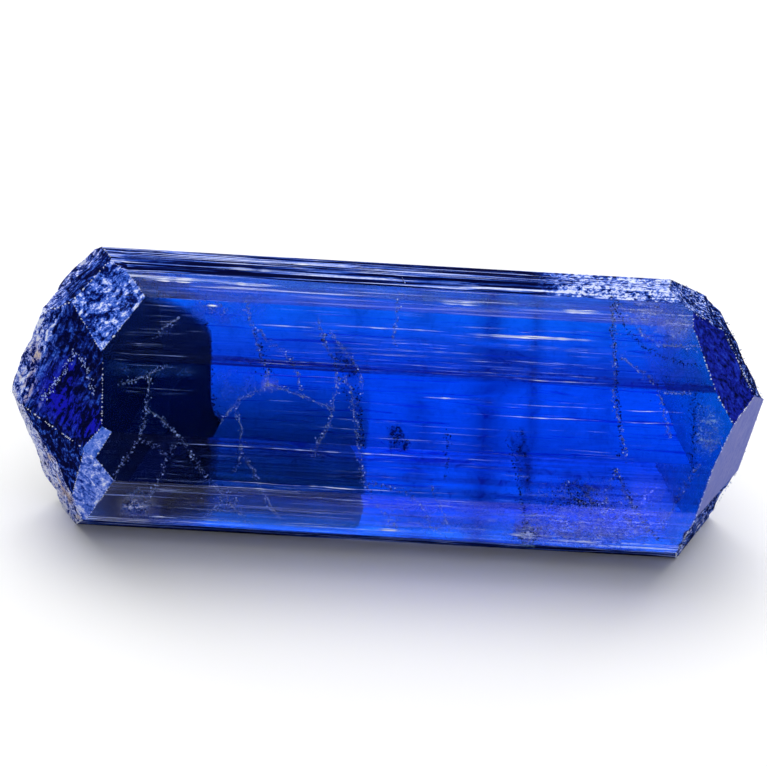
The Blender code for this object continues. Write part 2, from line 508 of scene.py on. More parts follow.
def quartz_material(settings):
    """Clear deep blue quartz, frosted and streaked where its attributes say.

    The share of the light that the frost scatters is a cloud, lengthwise streaks and specks added
    up; the streaks are growth lines with painted highlights. The tone of the frost runs from a deep
    navy over blue to pale, by two sizes of noise, and takes on stain and a violet glow, which on the
    left point is painted light. What stays clear is darkened by painted shade, the face's tint, the
    bars and the lines between the streaks, and by slow swirls."""
    material, tree, shader = new_material("blue_quartz_surface")
    # tint and bars carry painted shade, which darkens what is seen through the clear faces.
    matte, frost, pale, streak, etch, stain, violet, tint, bars = read_attributes(
        tree, "matte", "frost", "pale", "streak", "etch", "stain", "violet", "tint", "bars",
    )
    place = object_place(tree)
    ground = noise(tree, place, 1.5, detail=6.0, roughness=0.68, distortion=0.6)
    scales = noise(tree, place, 3.6, detail=3.0, distortion=1.4)
    grains = noise(tree, place, 7.5, detail=2.0, roughness=0.5, distortion=0.6)
    ripple = noise(tree, object_place(tree, (1.2, 2.2, 2.2)), 1.6, detail=3.0, distortion=1.2)
    swirl = noise(tree, place, 0.75, detail=6.0, roughness=0.62, distortion=2.0)
    lines = noise(tree, object_place(tree, (0.06, 4.2, 4.2)), 1.0, roughness=0.62)
    grooves = noise(tree, slanted_place(tree, GROOVE_WAY, (0.35, 2.6, 2.6)), 1.0)

    cloudy = times(tree, frost, ramp(tree, ground, 0.38, 0.60, 0.80, 1.1))
    # Lengthwise lines: growth lines that the frost turns white as painted highlights, with painted shade
    # between them on the clear faces.
    white_lines = times(tree, streak, ramp(tree, lines, 0.555, 0.64))
    specks = times(tree, etch, ramp(tree, grains, 0.62, 0.71, 0.0, 0.95))
    share = clamp(tree, plus(tree, cloudy, white_lines, specks), FROST_MOST)

    fine_lines = ramp(tree, lines, 0.40, 0.60, 1.35, 0.65)
    swirls = ramp(tree, swirl, 0.48, 0.68, 0.0, 0.22)
    painted_shade_and_swirls = clamp(tree, plus(tree, times(tree, tint, fine_lines), bars, swirls))
    painted_line_shade = times(tree, streak, ramp(tree, lines, 0.56, 0.44))
    clear = blend(tree, painted_shade_and_swirls, WHITE, SHADED_GLASS)
    clear = blend(tree, painted_line_shade, clear, LINE_SHADE)

    broken = plus(tree, times(tree, scales, 0.6), times(tree, ground, 0.4))
    etched = clamp(tree, times(tree, etch, 2.8))
    # The tone of the lines: painted highlights on the growth lines.
    ledges = times(tree, streak, ramp(tree, lines, 0.46, 0.63, -0.15, 0.95))
    tone = plus(
        tree, pale, ledges, specks,
        times(tree, etch, ramp(tree, broken, 0.43, 0.60, -0.5, 0.55)),
        times(tree, etched, ramp(tree, swirl, 0.38, 0.62, -0.32, 0.32)),
        times(tree, etched, ramp(tree, grooves, 0.40, 0.60, -0.20, 0.26)),
    )
    dusty = palette(tree, tone, (
        settings.shadow_colour, settings.deep_colour, settings.middle_colour,
        settings.light_colour, settings.frost_colour,
    ))
    stained = times(tree, stain, ramp(tree, tone, 0.2, 0.7))
    dusty = blend(tree, stained, dusty, settings.stain_colour)
    glowing = times(tree, violet, ramp(tree, tone, 0.0, 0.28))
    dusty = blend(tree, glowing, dusty, settings.violet_colour)

    height = times(tree, etch, plus(tree, ripple, scales))
    feed(tree, shader, {
        "Base Color": blend(tree, ramp(tree, share, 0.0, 0.2), clear, dusty),
        "Roughness": calc(tree, "MAXIMUM", matte, ramp(tree, share, 0.0, 1.0, 0.015, 0.55)),
        "Transmission Weight": calc(tree, "SUBTRACT", 1.0, share),
        "IOR": settings.ior,
        "Specular IOR Level": 0.0,
        "Specular Tint": (*settings.reflection_tint, 1.0),
        "Normal": put(tree, "ShaderNodeBump", {
            "Strength": 0.6, "Distance": BUMP_DEPTH, "Height": height,
        }),
    })
    absorb(tree, settings.absorption_colour, settings.absorption_density)
    return material


def colour_setting(name, description, default):
    """A colour that the user can change."""
    return bpy.props.FloatVectorProperty(
        name=name, description=description, subtype="COLOR", size=3, default=default, min=0.0, max=1.0,
    )


def density_setting(name, description, default):
    """A strength of absorption, per metre, that the user can change."""
    return bpy.props.FloatProperty(name=name, description=description, default=default, min=0.0)


class QuartzSurfaceSettings(bpy.types.PropertyGroup):
    """Sizes and colours of the crystal's outer surface."""

    parts: bpy.props.IntProperty(
        name="Divisions", description="Pieces that each edge of the solid is divided into",
        default=5, min=1, max=6,
    )
    ior: bpy.props.FloatProperty(
        name="Refraction", description="Index of refraction of quartz", default=QUARTZ_IOR,
    )
    absorption_colour: colour_setting(
        "Absorption colour", "Colour that white light takes on inside", (0.0, 0.70, 0.996))
    absorption_density: density_setting(
        "Absorption density", "Strength of the absorption per metre", 480.0)
    reflection_tint: colour_setting(
        "Reflection tint", "Colour of what the faces mirror head on", (0.01, 0.04, 0.30))
    frost_colour: colour_setting(
        "Frost colour", "Colour of the palest frosted ground", (0.70, 0.76, 0.98))
    shadow_colour: colour_setting(
        "Frost shadow", "Colour of the deepest frosted ground", (0.0012, 0.0022, 0.030))
    deep_colour: colour_setting(
        "Frost deep", "Colour of the frosted ground next to the deepest", (0.0055, 0.017, 0.21))
    middle_colour: colour_setting(
        "Frost middle", "Colour of the frosted ground between deep and pale", (0.030, 0.115, 0.62))
    light_colour: colour_setting(
        "Frost light", "Colour of the frosted ground next to the palest", (0.15, 0.25, 0.82))
    stain_colour: colour_setting(
        "Stain colour", "Colour of the iron stain on the left point", (0.55, 0.44, 0.36))
    violet_colour: colour_setting(
        "Violet glow", "Colour of the glowing patches on the left point", (0.009, 0.010, 0.50))
    sharp_angle: bpy.props.FloatProperty(
        name="Sharp angle", description="Edges that turn more than this stay sharp",
        default=math.radians(9.0), subtype="ANGLE",
    )


# The etched grooves of the points run this way, down to the left of the front view.
GROOVE_WAY = -0.50 * RUN - 0.86 * RISE

# How each finish looks, as (matte, frost, pale, streak and glint, etch, dust), each from 0 to about 1:
# its least roughness, how much of it is frosted, how pale the frost is, how strong the lengthwise
# lines are with their painted highlights and painted shade, how strong the specks and hollows are,
# and how much brown dust it holds. The ledged faces are dark frost with white lines, a painted dark
# reflection with painted highlights on its growth lines.
FINISH_LOOKS = {
    "flat": (0.40, 0.60, 0.50, 0.0, 0.1, 0.0),
    "glassy": (0.0, 0.0, 0.30, 0.0, 0.0, 0.0),
    "ledged": (0.30, 1.3, 0.04, 0.95, 0.03, 0.0),
    "satin": (0.50, 1.3, 0.52, 0.0, 0.03, 0.46),
    "etched": (0.15, 1.0, 0.06, 0.0, 0.22, 0.0),
    "pitted": (0.45, 1.1, 0.43, 0.0, 0.35, 0.0),
    "rough": (0.60, 1.3, 0.32, 0.0, 0.9, 0.0),
}
LEFT_BACKS = ("left_back_top", "left_back", "left_back_low")
RIGHT_BACKS = ("right_back_top", "right_back", "right_back_low")
# The faces that look unlike the others of their finish. The back faces of both points are hazy,
# so daylight comes in through them.
FACE_LOOKS = {
    "low_front": (0.20, 1.2, 0.05, 0.85, 0.03, 0.0),
    "shoulder_step": (0.0, 0.0, 0.45, 0.40, 0.0, 0.0),
    "shoulder_ledge": (0.0, 0.0, 0.45, 0.60, 0.0, 0.0),
    "left_strip": (0.50, 1.1, 0.60, 0.0, 0.16, 0.0),
    "left_kite": (0.50, 1.1, 0.60, 0.0, 0.22, 0.06),
    "left_top": (0.30, 1.3, 0.01, 0.0, 0.34, 0.0),
    "left_tip": (0.60, 1.3, 0.70, 0.0, 0.70, 0.05),
    "left_low": (0.30, 1.3, 0.04, 0.0, 0.30, 0.0),
    "left_toe": (0.60, 1.3, 0.60, 0.0, 0.90, 0.15),
    "right_main": (0.30, 1.3, 0.16, 0.0, 0.12, 0.0),
    "right_rim": (0.60, 1.3, -0.08, 0.0, 0.9, 0.0),
    "right_cheek": (0.60, 1.3, 0.12, 0.0, 0.9, 0.0),
    "lower_front": (0.10, 0.0, 0.40, 0.42, 0.0, 0.0),
    "lower_back": (0.22, 0.0, 0.34, 0.22, 0.0, 0.0),
    "back": (0.0, 0.0, 0.34, 0.24, 0.0, 0.0),
    "upper_back": (0.0, 0.0, 0.34, 0.30, 0.0, 0.0),
    "right_toe": (0.40, 1.3, 0.25, 0.0, 0.90, 0.0),
    **dict.fromkeys(LEFT_BACKS, (0.70, 0.04, 0.38, 0.0, 0.45, 0.0)),
    **dict.fromkeys(RIGHT_BACKS, (0.70, 0.0, 0.40, 0.0, 0.30, 0.0)),
}
# The left point is worn white along its far edges: what the wear adds to a look, and how far
# from those edges it reaches.
WORN_FACES = ("left_main", "left_top", "left_low", "left_toe")
WORN_TOWARDS = ("left_tip", *LEFT_BACKS)
WORN_LOOK = (0.40, 0.60, 0.62, 0.0, 0.60, 0.15)
WORN_REACH = 2.8 * MM

# Painted shade: share by which these front faces darken what is seen through them.
FACE_PAINTED_SHADES = {"mid_front": 0.58, "low_front": 0.35}
SHOULDER_FACES = ("shoulder", "shoulder_step", "shoulder_ledge")
# The shoulder's painted shade, which grows towards its lower edge.
SHOULDER_PAINTED_SHADE = (2.0, 6.5, 0.95)    # mm up the view from full tint to none, and full tint
BACK_FACES = ("upper_back", "back", "lower_back")
# Painted shade: soft dark bars across the back, as (place along, half width, tint), in mm.
PAINTED_SHADE_BARS = (
    (3.0, 0.9, 0.70), (8.4, 1.2, 0.90), (12.1, 0.6, 0.70), (15.3, 0.6, 0.40), (17.9, 0.6, 0.50),
    (-2.2, 1.2, 0.45), (-6.2, 1.0, 0.35),
)

# Iron stain on the skin, as (along, up, radius) of the front view in mm.
STAINS = (
    (-29.0, 0.9, 1.2), (-27.6, 2.2, 1.0), (-28.0, -1.2, 1.3),
    (-26.6, -6.0, 1.4), (-25.8, -8.1, 1.6), (-24.6, -9.8, 1.5),
)
STAIN_STREAKS = np.array([1.6, 0.32, 1.2]) * MM     # along, across and into the grooves
STAIN_COVER = 0.3            # share of the stain where the noise of its streaks is nothing
STAIN_SOFTNESS = 0.4         # noise that takes a streak from none to full
STAIN_SEED = 31
# Violet-blue glow painted on the left point's main face, painted light that comes through the point, in
# the same numbers; and a violet tone all over the right's.
VIOLET_GLOW_SPOTS = (
    (-26.4, -0.6, 1.6), (-25.4, -2.2, 1.6), (-23.6, -3.3, 1.2), (-22.9, -3.0, 0.9), (-25.2, 1.0, 1.0),
)
VIOLET_RIGHT = 0.40
# Frosted patches of the clear faces, in the same numbers, and what they add to a look.
FROST_SPOTS = (
    (12.2, -10.0, 1.0), (14.4, -9.2, 1.7), (17.4, -9.6, 1.8), (20.2, -9.0, 1.7), (21.2, -6.6, 1.5),
    (17.8, -7.6, 1.2), (20.4, 8.6, 1.2), (22.8, 7.3, 1.1),
    (-19.3, -9.4, 0.9), (-9.3, 0.8, 0.35),
)
FROST_LOOK = (0.0, 0.10, 0.20, 0.0, 1.1, 0.0)
# Patches of them painted as a pale blue glow, painted light.
PAINTED_GLOW_SPOTS = ((-19.3, -9.6, 0.9), (12.1, -9.9, 0.7))
PAINTED_GLOW_LOOK = (0.0, 0.50, 0.36, 0.0, 0.35, 0.0)
# The ledges of the lowest clear face fade out this far from its lower border.
LOW_LEDGES_REACH = 1.2 * MM
LOW_LEDGES_LOOK = (0.0, 0.10, 0.05, 0.60, 0.25, 0.0)
# The crown grows broken and white from this place along it, over this length.
WHITE_CROWN_START = 11.0 * MM
WHITE_CROWN_LENGTH = 4.0 * MM
WHITE_CROWN_LOOK = (0.2, 0.5, 0.56, -0.55, 0.6, 0.0)
# The left point's main face is paler than even left of this place along it, and deeper right of
# it, to the full amount at this distance.
DEEP_POINT_PLACE = -24.6 * MM
DEEP_POINT_REACH = 3.5 * MM
DEEP_POINT_AMOUNT = 0.12


def spot_amount(points, spots):
    """Sum of soft round spots on the skin, at most 1, each a bell curve of the distance from its
    middle over its radius."""
    spots = np.array(spots)
    middles = on_skin(spots[:, :2])
    away = np.linalg.norm(points[:, None] - middles[None], axis=2) / (spots[:, 2] * MM)
    return np.clip(np.exp(-away**2).sum(axis=1), 0.0, 1.0)


def stain_amount(points):
    """Share of brown stain: its spots, broken by noise into streaks that run with the grooves."""
    along = unit(GROOVE_WAY)
    axes = np.stack((along, unit(np.cross(along, VIEW)), VIEW), axis=1)
    streaks = value_noise(points @ axes, STAIN_STREAKS, STAIN_SEED)
    return spot_amount(points, STAINS) * np.clip(streaks / STAIN_SOFTNESS + STAIN_COVER, 0.0, 1.0)


def violet_amount(points, corners, face):
    """Share of violet at each corner of each small triangle: painted glow by spots on the left point, and
    an even violet tone by its face on the right.
    """
    spots = spot_amount(points, VIOLET_GLOW_SPOTS)[corners]
    left, right = ((face == FACE_NAMES.index(name))[:, None] for name in ("left_main", "right_main"))
    return spots * left + VIOLET_RIGHT * right


def face_looks(points, number):
    """Matte, frost, pale, streak and glint, etch and dust of each small triangle, by the face it lies on.
    What wear, spots and ledges add to a look grows in step with their share, from 0 to 1."""
    looks = np.array([FACE_LOOKS.get(name, FINISH_LOOKS[row[3]]) for name, row in FACES.items()])
    looks = looks[number]
    clear = FINISHES[number] == "glassy"
    along = points[:, 0]
    worn = 1.0 - edge_distance(points, number, WORN_TOWARDS) / WORN_REACH
    low = 1.0 - edge_distance(points, number, ("low_front",)) / LOW_LEDGES_REACH
    for where, share, look in (
        (on_faces(number, WORN_FACES), worn, WORN_LOOK),
        (on_faces(number, ("crown", "ridge")), (along - WHITE_CROWN_START) / WHITE_CROWN_LENGTH,
         WHITE_CROWN_LOOK),
        (clear, spot_amount(points, FROST_SPOTS), FROST_LOOK),
        (clear, spot_amount(points, PAINTED_GLOW_SPOTS), PAINTED_GLOW_LOOK),
        (on_faces(number, ("lower_front",)), low, LOW_LEDGES_LOOK),
    ):
        looks += np.where(where, np.clip(share, 0.0, 1.0), 0.0)[:, None] * look
    deep = np.clip((along - DEEP_POINT_PLACE) / DEEP_POINT_REACH, -1.0, 1.0)
    looks[:, 2] -= np.where(on_faces(number, ("left_main",)), DEEP_POINT_AMOUNT * deep, 0.0)
    return looks


def painted_face_shade(points, number):
    """Painted shade: share by which the clear quartz is darkened at each point of each small
    triangle. The shoulder is painted darker towards its lower edge, by the square of the way down."""
    tint = np.array([FACE_PAINTED_SHADES.get(name, 0.0) for name in FACES])[number]
    up = (points - CENTRE) @ RISE / MM
    low, high, full = SHOULDER_PAINTED_SHADE
    fall = np.clip((high - up) / (high - low), 0.0, 1.0)
    return np.where(on_faces(number, SHOULDER_FACES), full * fall**2, tint)


def painted_bar_shade(points, number):
    """Painted shade: share by which soft dark bars that stand across the back faces darken them,
    each a bell curve along the crystal."""
    along = (points - CENTRE) @ EAST / MM
    place, half, depth = np.array(PAINTED_SHADE_BARS).T
    bars = (depth * np.exp(-(((along[:, None] - place) / half) ** 2))).sum(axis=1)
    return np.where(on_faces(number, BACK_FACES), bars, 0.0)


class QUARTZ_OT_surface(bpy.types.Operator):
    """Build the crystal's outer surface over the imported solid"""

    bl_idname = "quartz.surface"
    bl_label = "Crystal Surface"

    def execute(self, context):
        settings = context.scene.quartz_surface
        points, corners = divide_triangles(solid_triangles(), settings.parts)
        points, corners = weld(points, corners)
        flat, normals = surface_normals(points, corners)
        number = nearest_face(points, normals)
        middles = points[corners].mean(axis=1)
        face = nearest_face(middles, flat)
        each, each_face = points[corners].reshape(-1, 3), np.repeat(face, 3)
        # The tint and the bars are painted shade.
        tint, bars = painted_face_shade(each, each_face), painted_bar_shade(each, each_face)
        points = points + normals * relief(points, number)[:, None]
        matte, frost, pale, streak, etch, dust = face_looks(middles, face).T
        stain = np.clip(stain_amount(points)[corners] + dust[:, None], 0.0, 1.0).ravel()
        violet = violet_amount(points, corners, face).ravel()
        mesh = make_mesh("crystal_surface", points, corners, settings.sharp_angle)
        write_attributes(mesh, "FACE", matte=matte, frost=frost, pale=pale, streak=streak, etch=etch)
        write_attributes(mesh, "CORNER", stain=stain, violet=violet, tint=tint, bars=bars)
        piece = add_piece(mesh, quartz_material(settings))
        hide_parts(NODE)
        return {"FINISHED"}


# ---------------------------------------------------------------- painted shade zones inside

# Zones of painted shade, quartz that absorbs more where the crystal looks dark, as (face they are seen
# through, outline on the front view in mm).
ZONES = {
    "painted_dark_shade": ("main_front", (
        (-26.28, 4.19), (-22.82, 6.79), (-19.48, 7.22), (-18.4, 6.48), (-16.68, 5.86),
        (-15.61, 5.28), (-14.51, 4.3), (-14.13, 3.28), (-13.9, -0.71), (-13.51, -1.89),
        (-12.85, -2.33), (-13.64, -3.9), (-14.51, -5.55), (-16.4, -7.42), (-18.32, -8.98),
        (-20.68, -9.4), (-23.09, -6.84), (-24.94, -5.35), (-26.67, -3.04), (-27.01, 0.14))),
    "painted_cell_shade": ("main_front", (
        (-12.65, -2.33), (-11.58, -0.74), (-9.88, 0.48), (-9.27, 0.91), (-6.82, 0.09),
        (-4.06, -0.79), (-4.4, -2.2), (-5.1, -4.5), (-8.0, -4.5), (-12.0, -4.5),
        (-13.6, -3.7))),
    "middle_shade": ("mid_front", (
        (-13.4, -3.5), (-8.0, -3.5), (-3.0, -3.5), (-2.2, -4.1), (-1.5, -5.8), (-1.2, -7.05),
        (-8.0, -7.05), (-14.9, -7.05), (-14.4, -5.6))),
    "low_shade": ("lower_front", (
        (-15.2, -7.25), (-8.0, -7.25), (-1.6, -7.25), (-1.2, -8.6), (-1.6, -10.3), (-8.0, -10.4),
        (-17.6, -10.4), (-17.2, -8.8))),
}
ZONE_SPOKES = 96
ZONE_RINGS = 8
ZONE_GAP = 0.6 * MM          # quartz left clear between a zone and the skin
ZONE_GAP_PARTS = 3           # where the way through is short, one part in so many is left clear
ZONE_START = 0.01 * MM       # how far inside the front face the way through is measured from


def run_lengths(path):
    """Length of each straight run of a line."""
    return np.linalg.norm(np.diff(path, axis=0), axis=1)


def resample(path, spacing):
    """Points at an even spacing (mm) along a line of straight runs, by its running length."""
    path = np.asarray(path, dtype=float)
    length = np.concatenate(([0.0], np.cumsum(run_lengths(path))))
    count = max(2, int(round(length[-1] / spacing)) + 1)
    place = np.linspace(0.0, length[-1], count)
    return np.column_stack([np.interp(place, length, path[:, axis]) for axis in (0, 1)])


def ringed_places(outline, spokes, shares):
    """Places on the front view that fill an outline, ring by ring, and their number in a ring:
    the last ring is the outline, stepped evenly, and each other one is that shrunk towards its
    middle to a share."""
    outline = np.array([*outline, outline[0]])
    rim = resample(outline, run_lengths(outline).sum() / spokes)[:-1]
    middle = rim.mean(axis=0)
    return (middle + (rim - middle) * shares[:, None, None]).reshape(-1, 2), len(rim)


def grid_corners(rows, columns, wrap=False):
    """Triangles of a grid of points stored row by row; wrap joins the last column to the first."""
    r, c = np.meshgrid(np.arange(rows - 1), np.arange(columns if wrap else columns - 1), indexing="ij")
    right = (c + 1) % columns
    a, b = r * columns + c, r * columns + right
    d, e = (r + 1) * columns + c, (r + 1) * columns + right
    return np.concatenate((
        np.stack((a, b, e), axis=-1).reshape(-1, 3),
        np.stack((a, e, d), axis=-1).reshape(-1, 3),
    ))


def zone_body(face, outline):
    """Closed body inside the crystal: a sheet just under the front skin, another just short of
    where light leaves at the back, and a wall between their outlines. The rings of a sheet stand
    at the square roots of even shares, so that each has the same area."""
    shares = np.sqrt(np.linspace(0.0, 1.0, ZONE_RINGS + 1))
    plan, columns = ringed_places(outline, ZONE_SPOKES, shares)
    inwards = bent_inwards(face)
    skin = on_skin(plan)
    through = run_to_skin(skin + inwards * ZONE_START, inwards)
    gap = np.minimum(ZONE_GAP, through / ZONE_GAP_PARTS)
    front = skin + inwards * gap[:, None]
    back = skin + inwards * (through - gap)[:, None]
    back_rows = back.reshape(-1, columns, 3)[::-1].reshape(-1, 3)
    corners = grid_corners(2 * len(shares), columns, wrap=True)
    points, corners = weld(np.vstack((front, back_rows)), corners)
    return points, outward(points, corners)


def outward(points, corners):
    """The same triangles, turned over if the closed body they bound is inside out."""
    a, b, c = (points[corners[:, k]] for k in range(3))
    volume = np.einsum("ij,ij->i", a, np.cross(b, c)).sum()
    return corners if volume > 0 else corners[:, ::-1]


def zone_material(name, colour, density):
    """Quartz that absorbs more, as painted shade. Its refraction is 1 against the quartz around it, so
    its border bends no light."""
    material, tree, shader = new_material(name)
    feed(tree, shader, {
        "Base Color": (*WHITE, 1.0), "Roughness": 0.0, "IOR": 1.0,
        "Transmission Weight": 1.0, "Specular IOR Level": 0.0,
    })
    absorb(tree, colour, density)
    return material


class ZoneSettings(bpy.types.PropertyGroup):
    """Colours and strengths of the zones of painted shade inside."""

    dark_colour: colour_setting(
        "Dark colour", "Colour that white light takes on in the dark left zone", (0.20, 0.02, 0.18))
    dark_density: density_setting(
        "Dark zone", "Absorption of the dark left zone per metre", 240.0)
    shade_colour: colour_setting(
        "Shade colour", "Colour that white light takes on in the other zones", (0.60, 0.20, 0.05))
    # The cracked cell's absorption is painted shade between the cracks.
    cell_density: density_setting(
        "Cracked cell", "Absorption of the cell between the cracks per metre", 6.0)
    shade_density: density_setting(
        "Middle shade", "Absorption of the shaded middle zone per metre", 48.0)
    low_density: density_setting(
        "Low shade", "Absorption of the shaded low zone per metre", 72.0)


class QUARTZ_OT_zones(bpy.types.Operator):
    """Build the zones of painted shade inside the crystal"""

    bl_idname = "quartz.zones"
    bl_label = "Painted Shade Zones"

    def execute(self, context):
        settings = context.scene.quartz_zones
        for name, colour, density in (
            ("painted_dark_shade", settings.dark_colour, settings.dark_density),
            ("painted_cell_shade", settings.shade_colour, settings.cell_density),
            ("middle_shade", settings.shade_colour, settings.shade_density),
            ("low_shade", settings.shade_colour, settings.low_density),
        ):
            mesh = make_mesh(name, *zone_body(*ZONES[name]))
            add_piece(mesh, zone_material(name, colour, density))
        return {"FINISHED"}


# ---------------------------------------------------------------- cracks

# Cracks as name: (depth in mm, lean, points on the front view in mm).
CRACKS = {
    "left_nick": (1.0, 0.3, ((-18.35, 4.16), (-17.67, 4.92), (-16.67, 5.7))),
    "left_branch": (0.8, 0.3, ((-21.08, 0.16), (-19.67, 0.64), (-18.74, 1.18), (-17.49, 1.73))),
    "left_long": (1.0, 0.2, (
        (-18.82, 1.25), (-18.84, 0.21), (-18.85, -0.99), (-18.96, -1.88), (-19.06, -3.01),
        (-19.18, -3.74), (-19.83, -4.9), (-20.57, -6.06), (-21.14, -7.29))),
    "left_cross": (1.2, 0.3, (
        (-18.73, -1.71), (-17.73, -2.37), (-16.89, -3.13), (-16.05, -3.8), (-15.09, -5.19),
        (-14.22, -6.34), (-13.29, -7.25), (-12.28, -8.15), (-11.75, -9))),
    "left_fork": (0.9, -0.2, (
        (-16.05, -3.8), (-16.65, -4.55), (-17.08, -5.38), (-17.2, -6.19), (-17.7, -7.18),
        (-18.2, -8.33), (-18.76, -9.72))),
    "left_loop": (0.6, 0.2, ((-19.24, -4.06), (-18.42, -4.33), (-17.6, -4.69), (-17.09, -5.22))),
    "low_star": (0.8, 0.4, (
        (-13.93, -10.09), (-13.17, -9.32), (-12.33, -8.56), (-11.76, -8.84), (-11.14, -8.41))),
    "low_star_tail": (0.8, 0.2, ((-11.76, -8.84), (-11.08, -9.53), (-9.9, -10.5))),
    "cell_left": (1.6, 0.3, (
        (-12.85, -2.33), (-12.18, -1.41), (-11.51, -0.58), (-10.81, -0.13), (-9.87, 0.32),
        (-9.26, 0.83))),
    "cell_left_down": (1.2, -0.3, (
        (-11.77, -1.55), (-11.22, -2.8), (-11.32, -3.77), (-11.03, -4.71), (-10.33, -5.72),
        (-9.79, -6.73), (-9.26, -7.66), (-8.63, -8.83), (-7.69, -9.81))),
    "cell_drop": (0.7, 0.3, ((-11.16, -3.76), (-11.31, -5.37), (-11.59, -6.19))),
    "cell_top": (1.2, 0.3, (
        (-9.26, 0.83), (-9.48, 1.78), (-10.02, 2.87), (-10.4, 3.89), (-10.79, 5.07),
        (-11.16, 6.02), (-11.56, 7.43))),
    "cell_top_side": (1.0, -0.2, (
        (-10.47, 5.09), (-9.28, 4.04), (-8.29, 3.45), (-7.53, 2.7), (-7.08, 1.92),
        (-6.87, 1.05), (-6.67, 0.34))),
    "cell_right": (0.9, 0.2, (
        (-9.27, 0.91), (-8.04, 0.5), (-6.82, 0.09), (-5.35, -0.38), (-4.2, -0.88))),
    "cell_far": (1.2, 0.3, (
        (-4.2, -0.88), (-4.31, -1.77), (-4.58, -2.58), (-5.02, -3.25), (-5.38, -3.99),
        (-5.41, -4.88))),
    "mid_upper": (1.2, -0.3, (
        (-5.73, 6.32), (-5.35, 5.38), (-4.97, 4.2), (-4.43, 3.27), (-3.98, 2.42),
        (-3.93, 1.46), (-3.94, 0.26), (-4.04, -0.79))),
    "mid_side": (1.0, 0.3, (
        (-4.72, 5.42), (-3.85, 4.27), (-2.99, 3.28), (-2.3, 2.35), (-1.92, 1.41),
        (-1.97, 0.77))),
    "mid_long": (1.5, 0.2, (
        (-3.31, 1.89), (-2.68, 0.57), (-2.44, -0.86), (-2.1, -2.44), (-1.88, -3.63),
        (-1.63, -5.22), (-1.4, -6.41), (-0.78, -7.34), (-0.09, -8.34), (0.77, -9.33),
        (1.62, -10.08))),
    "mid_arc": (0.9, 0.3, (
        (-1.41, -6.25), (-0.51, -6.52), (0.79, -6.77), (2, -7.02), (3.09, -7.76),
        (3.7, -8.68), (4.16, -9.7), (5.49, -10.51))),
    "mid_arc_two": (0.9, 0.3, ((3.98, -6.5), (4.68, -7.67), (5.23, -8.84), (5.7, -10.01))),
    "pale_seam": (1.0, 0.05, (
        (0.94, 10.31), (0.83, 9.34), (0.66, 8.13), (0.51, 6.52), (0.38, 4.51))),
    "right_seam": (1.2, 0.15, (
        (17.75, 9.1), (17.81, 6.7), (17.98, 5.11), (18.08, 3.35), (18.09, 1.75),
        (18.22, 0.96), (18.7, -0.46), (19.13, -2.44), (19.44, -3.62))),
    "right_arc_top": (1.0, 0.3, (
        (18.57, 4.58), (19.24, 4.06), (20.24, 3.48), (20.98, 3.04), (21.41, 2.58),
        (21.75, 2.12), (22.41, 1.92), (23.37, 1.97), (24.41, 1.87))),
    "right_lens_edge": (1.0, 0.3, (
        (18.17, 8.73), (18.86, 7.97), (19.45, 7.36), (20.05, 6.67), (20.72, 6.15),
        (21.39, 5.79), (22.35, 5.68), (23.4, 5.66), (24.67, 5.73))),
    "right_drop": (0.8, 0.2, ((21.76, 1.96), (22.17, 0.54), (22.47, -0.64), (22.78, -1.83))),
    "right_low_left": (1.0, 0.3, (
        (18.68, -4.3), (19.13, -5.24), (19.5, -6.18), (20.03, -7.03), (20.63, -7.72),
        (21.24, -8.49), (21.76, -9.26))),
    "right_low_y": (0.9, 0.3, (
        (18.68, -4.3), (18.32, -5.13), (18.22, -6.09), (17.96, -7.31), (17.71, -8.53))),
    "right_low_long": (1.2, -0.3, (
        (25.21, -3.61), (24.55, -4.77), (23.98, -5.93), (23.54, -6.75), (23.12, -7.74),
        (22.53, -8.65))),
    "point_long": (0.7, 0.1, (
        (-27.2, -1.4), (-26.4, -0.2), (-25.6, 0.9), (-25.1, 2.0), (-24.9, 2.5))),
    "point_branch": (0.6, 0.1, ((-24.9, 2.5), (-24.1, 1.8), (-23.5, 0.5), (-23.1, -0.9))),
    "low_hook": (0.8, 0.3, (
        (14.74, -5.49), (14.85, -6.13), (15.36, -6.66), (16.03, -7.18), (16.84, -7.29),
        (17.64, -7.17))),
}
CRACK_STEP = 0.12            # mm between points along a crack
CRACK_ROWS = 6
CRACK_WANDER = 0.10          # mm that a crack strays to either side
CRACK_WANDER_RUN = 0.7       # mm along the crack from one bend to the next
CRACK_DEPTH_RUN = 1.3        # and from one deeper stretch to the next
CRACK_DEPTH_MEAN = 0.65      # share of its full depth that a crack has in the mean
CRACK_DEPTH_SWING = 0.35     # and by which that varies
CRACK_COVER = 0.05 * MM      # quartz over a crack
CRACK_APART = 5.0            # mm that set the noise of each crack apart from the next one's
CRACK_DEPTH_SEED = 50        # added to a crack's own seed for the noise of its depth
CRACK_COLOUR = (0.80, 0.86, 1.0)


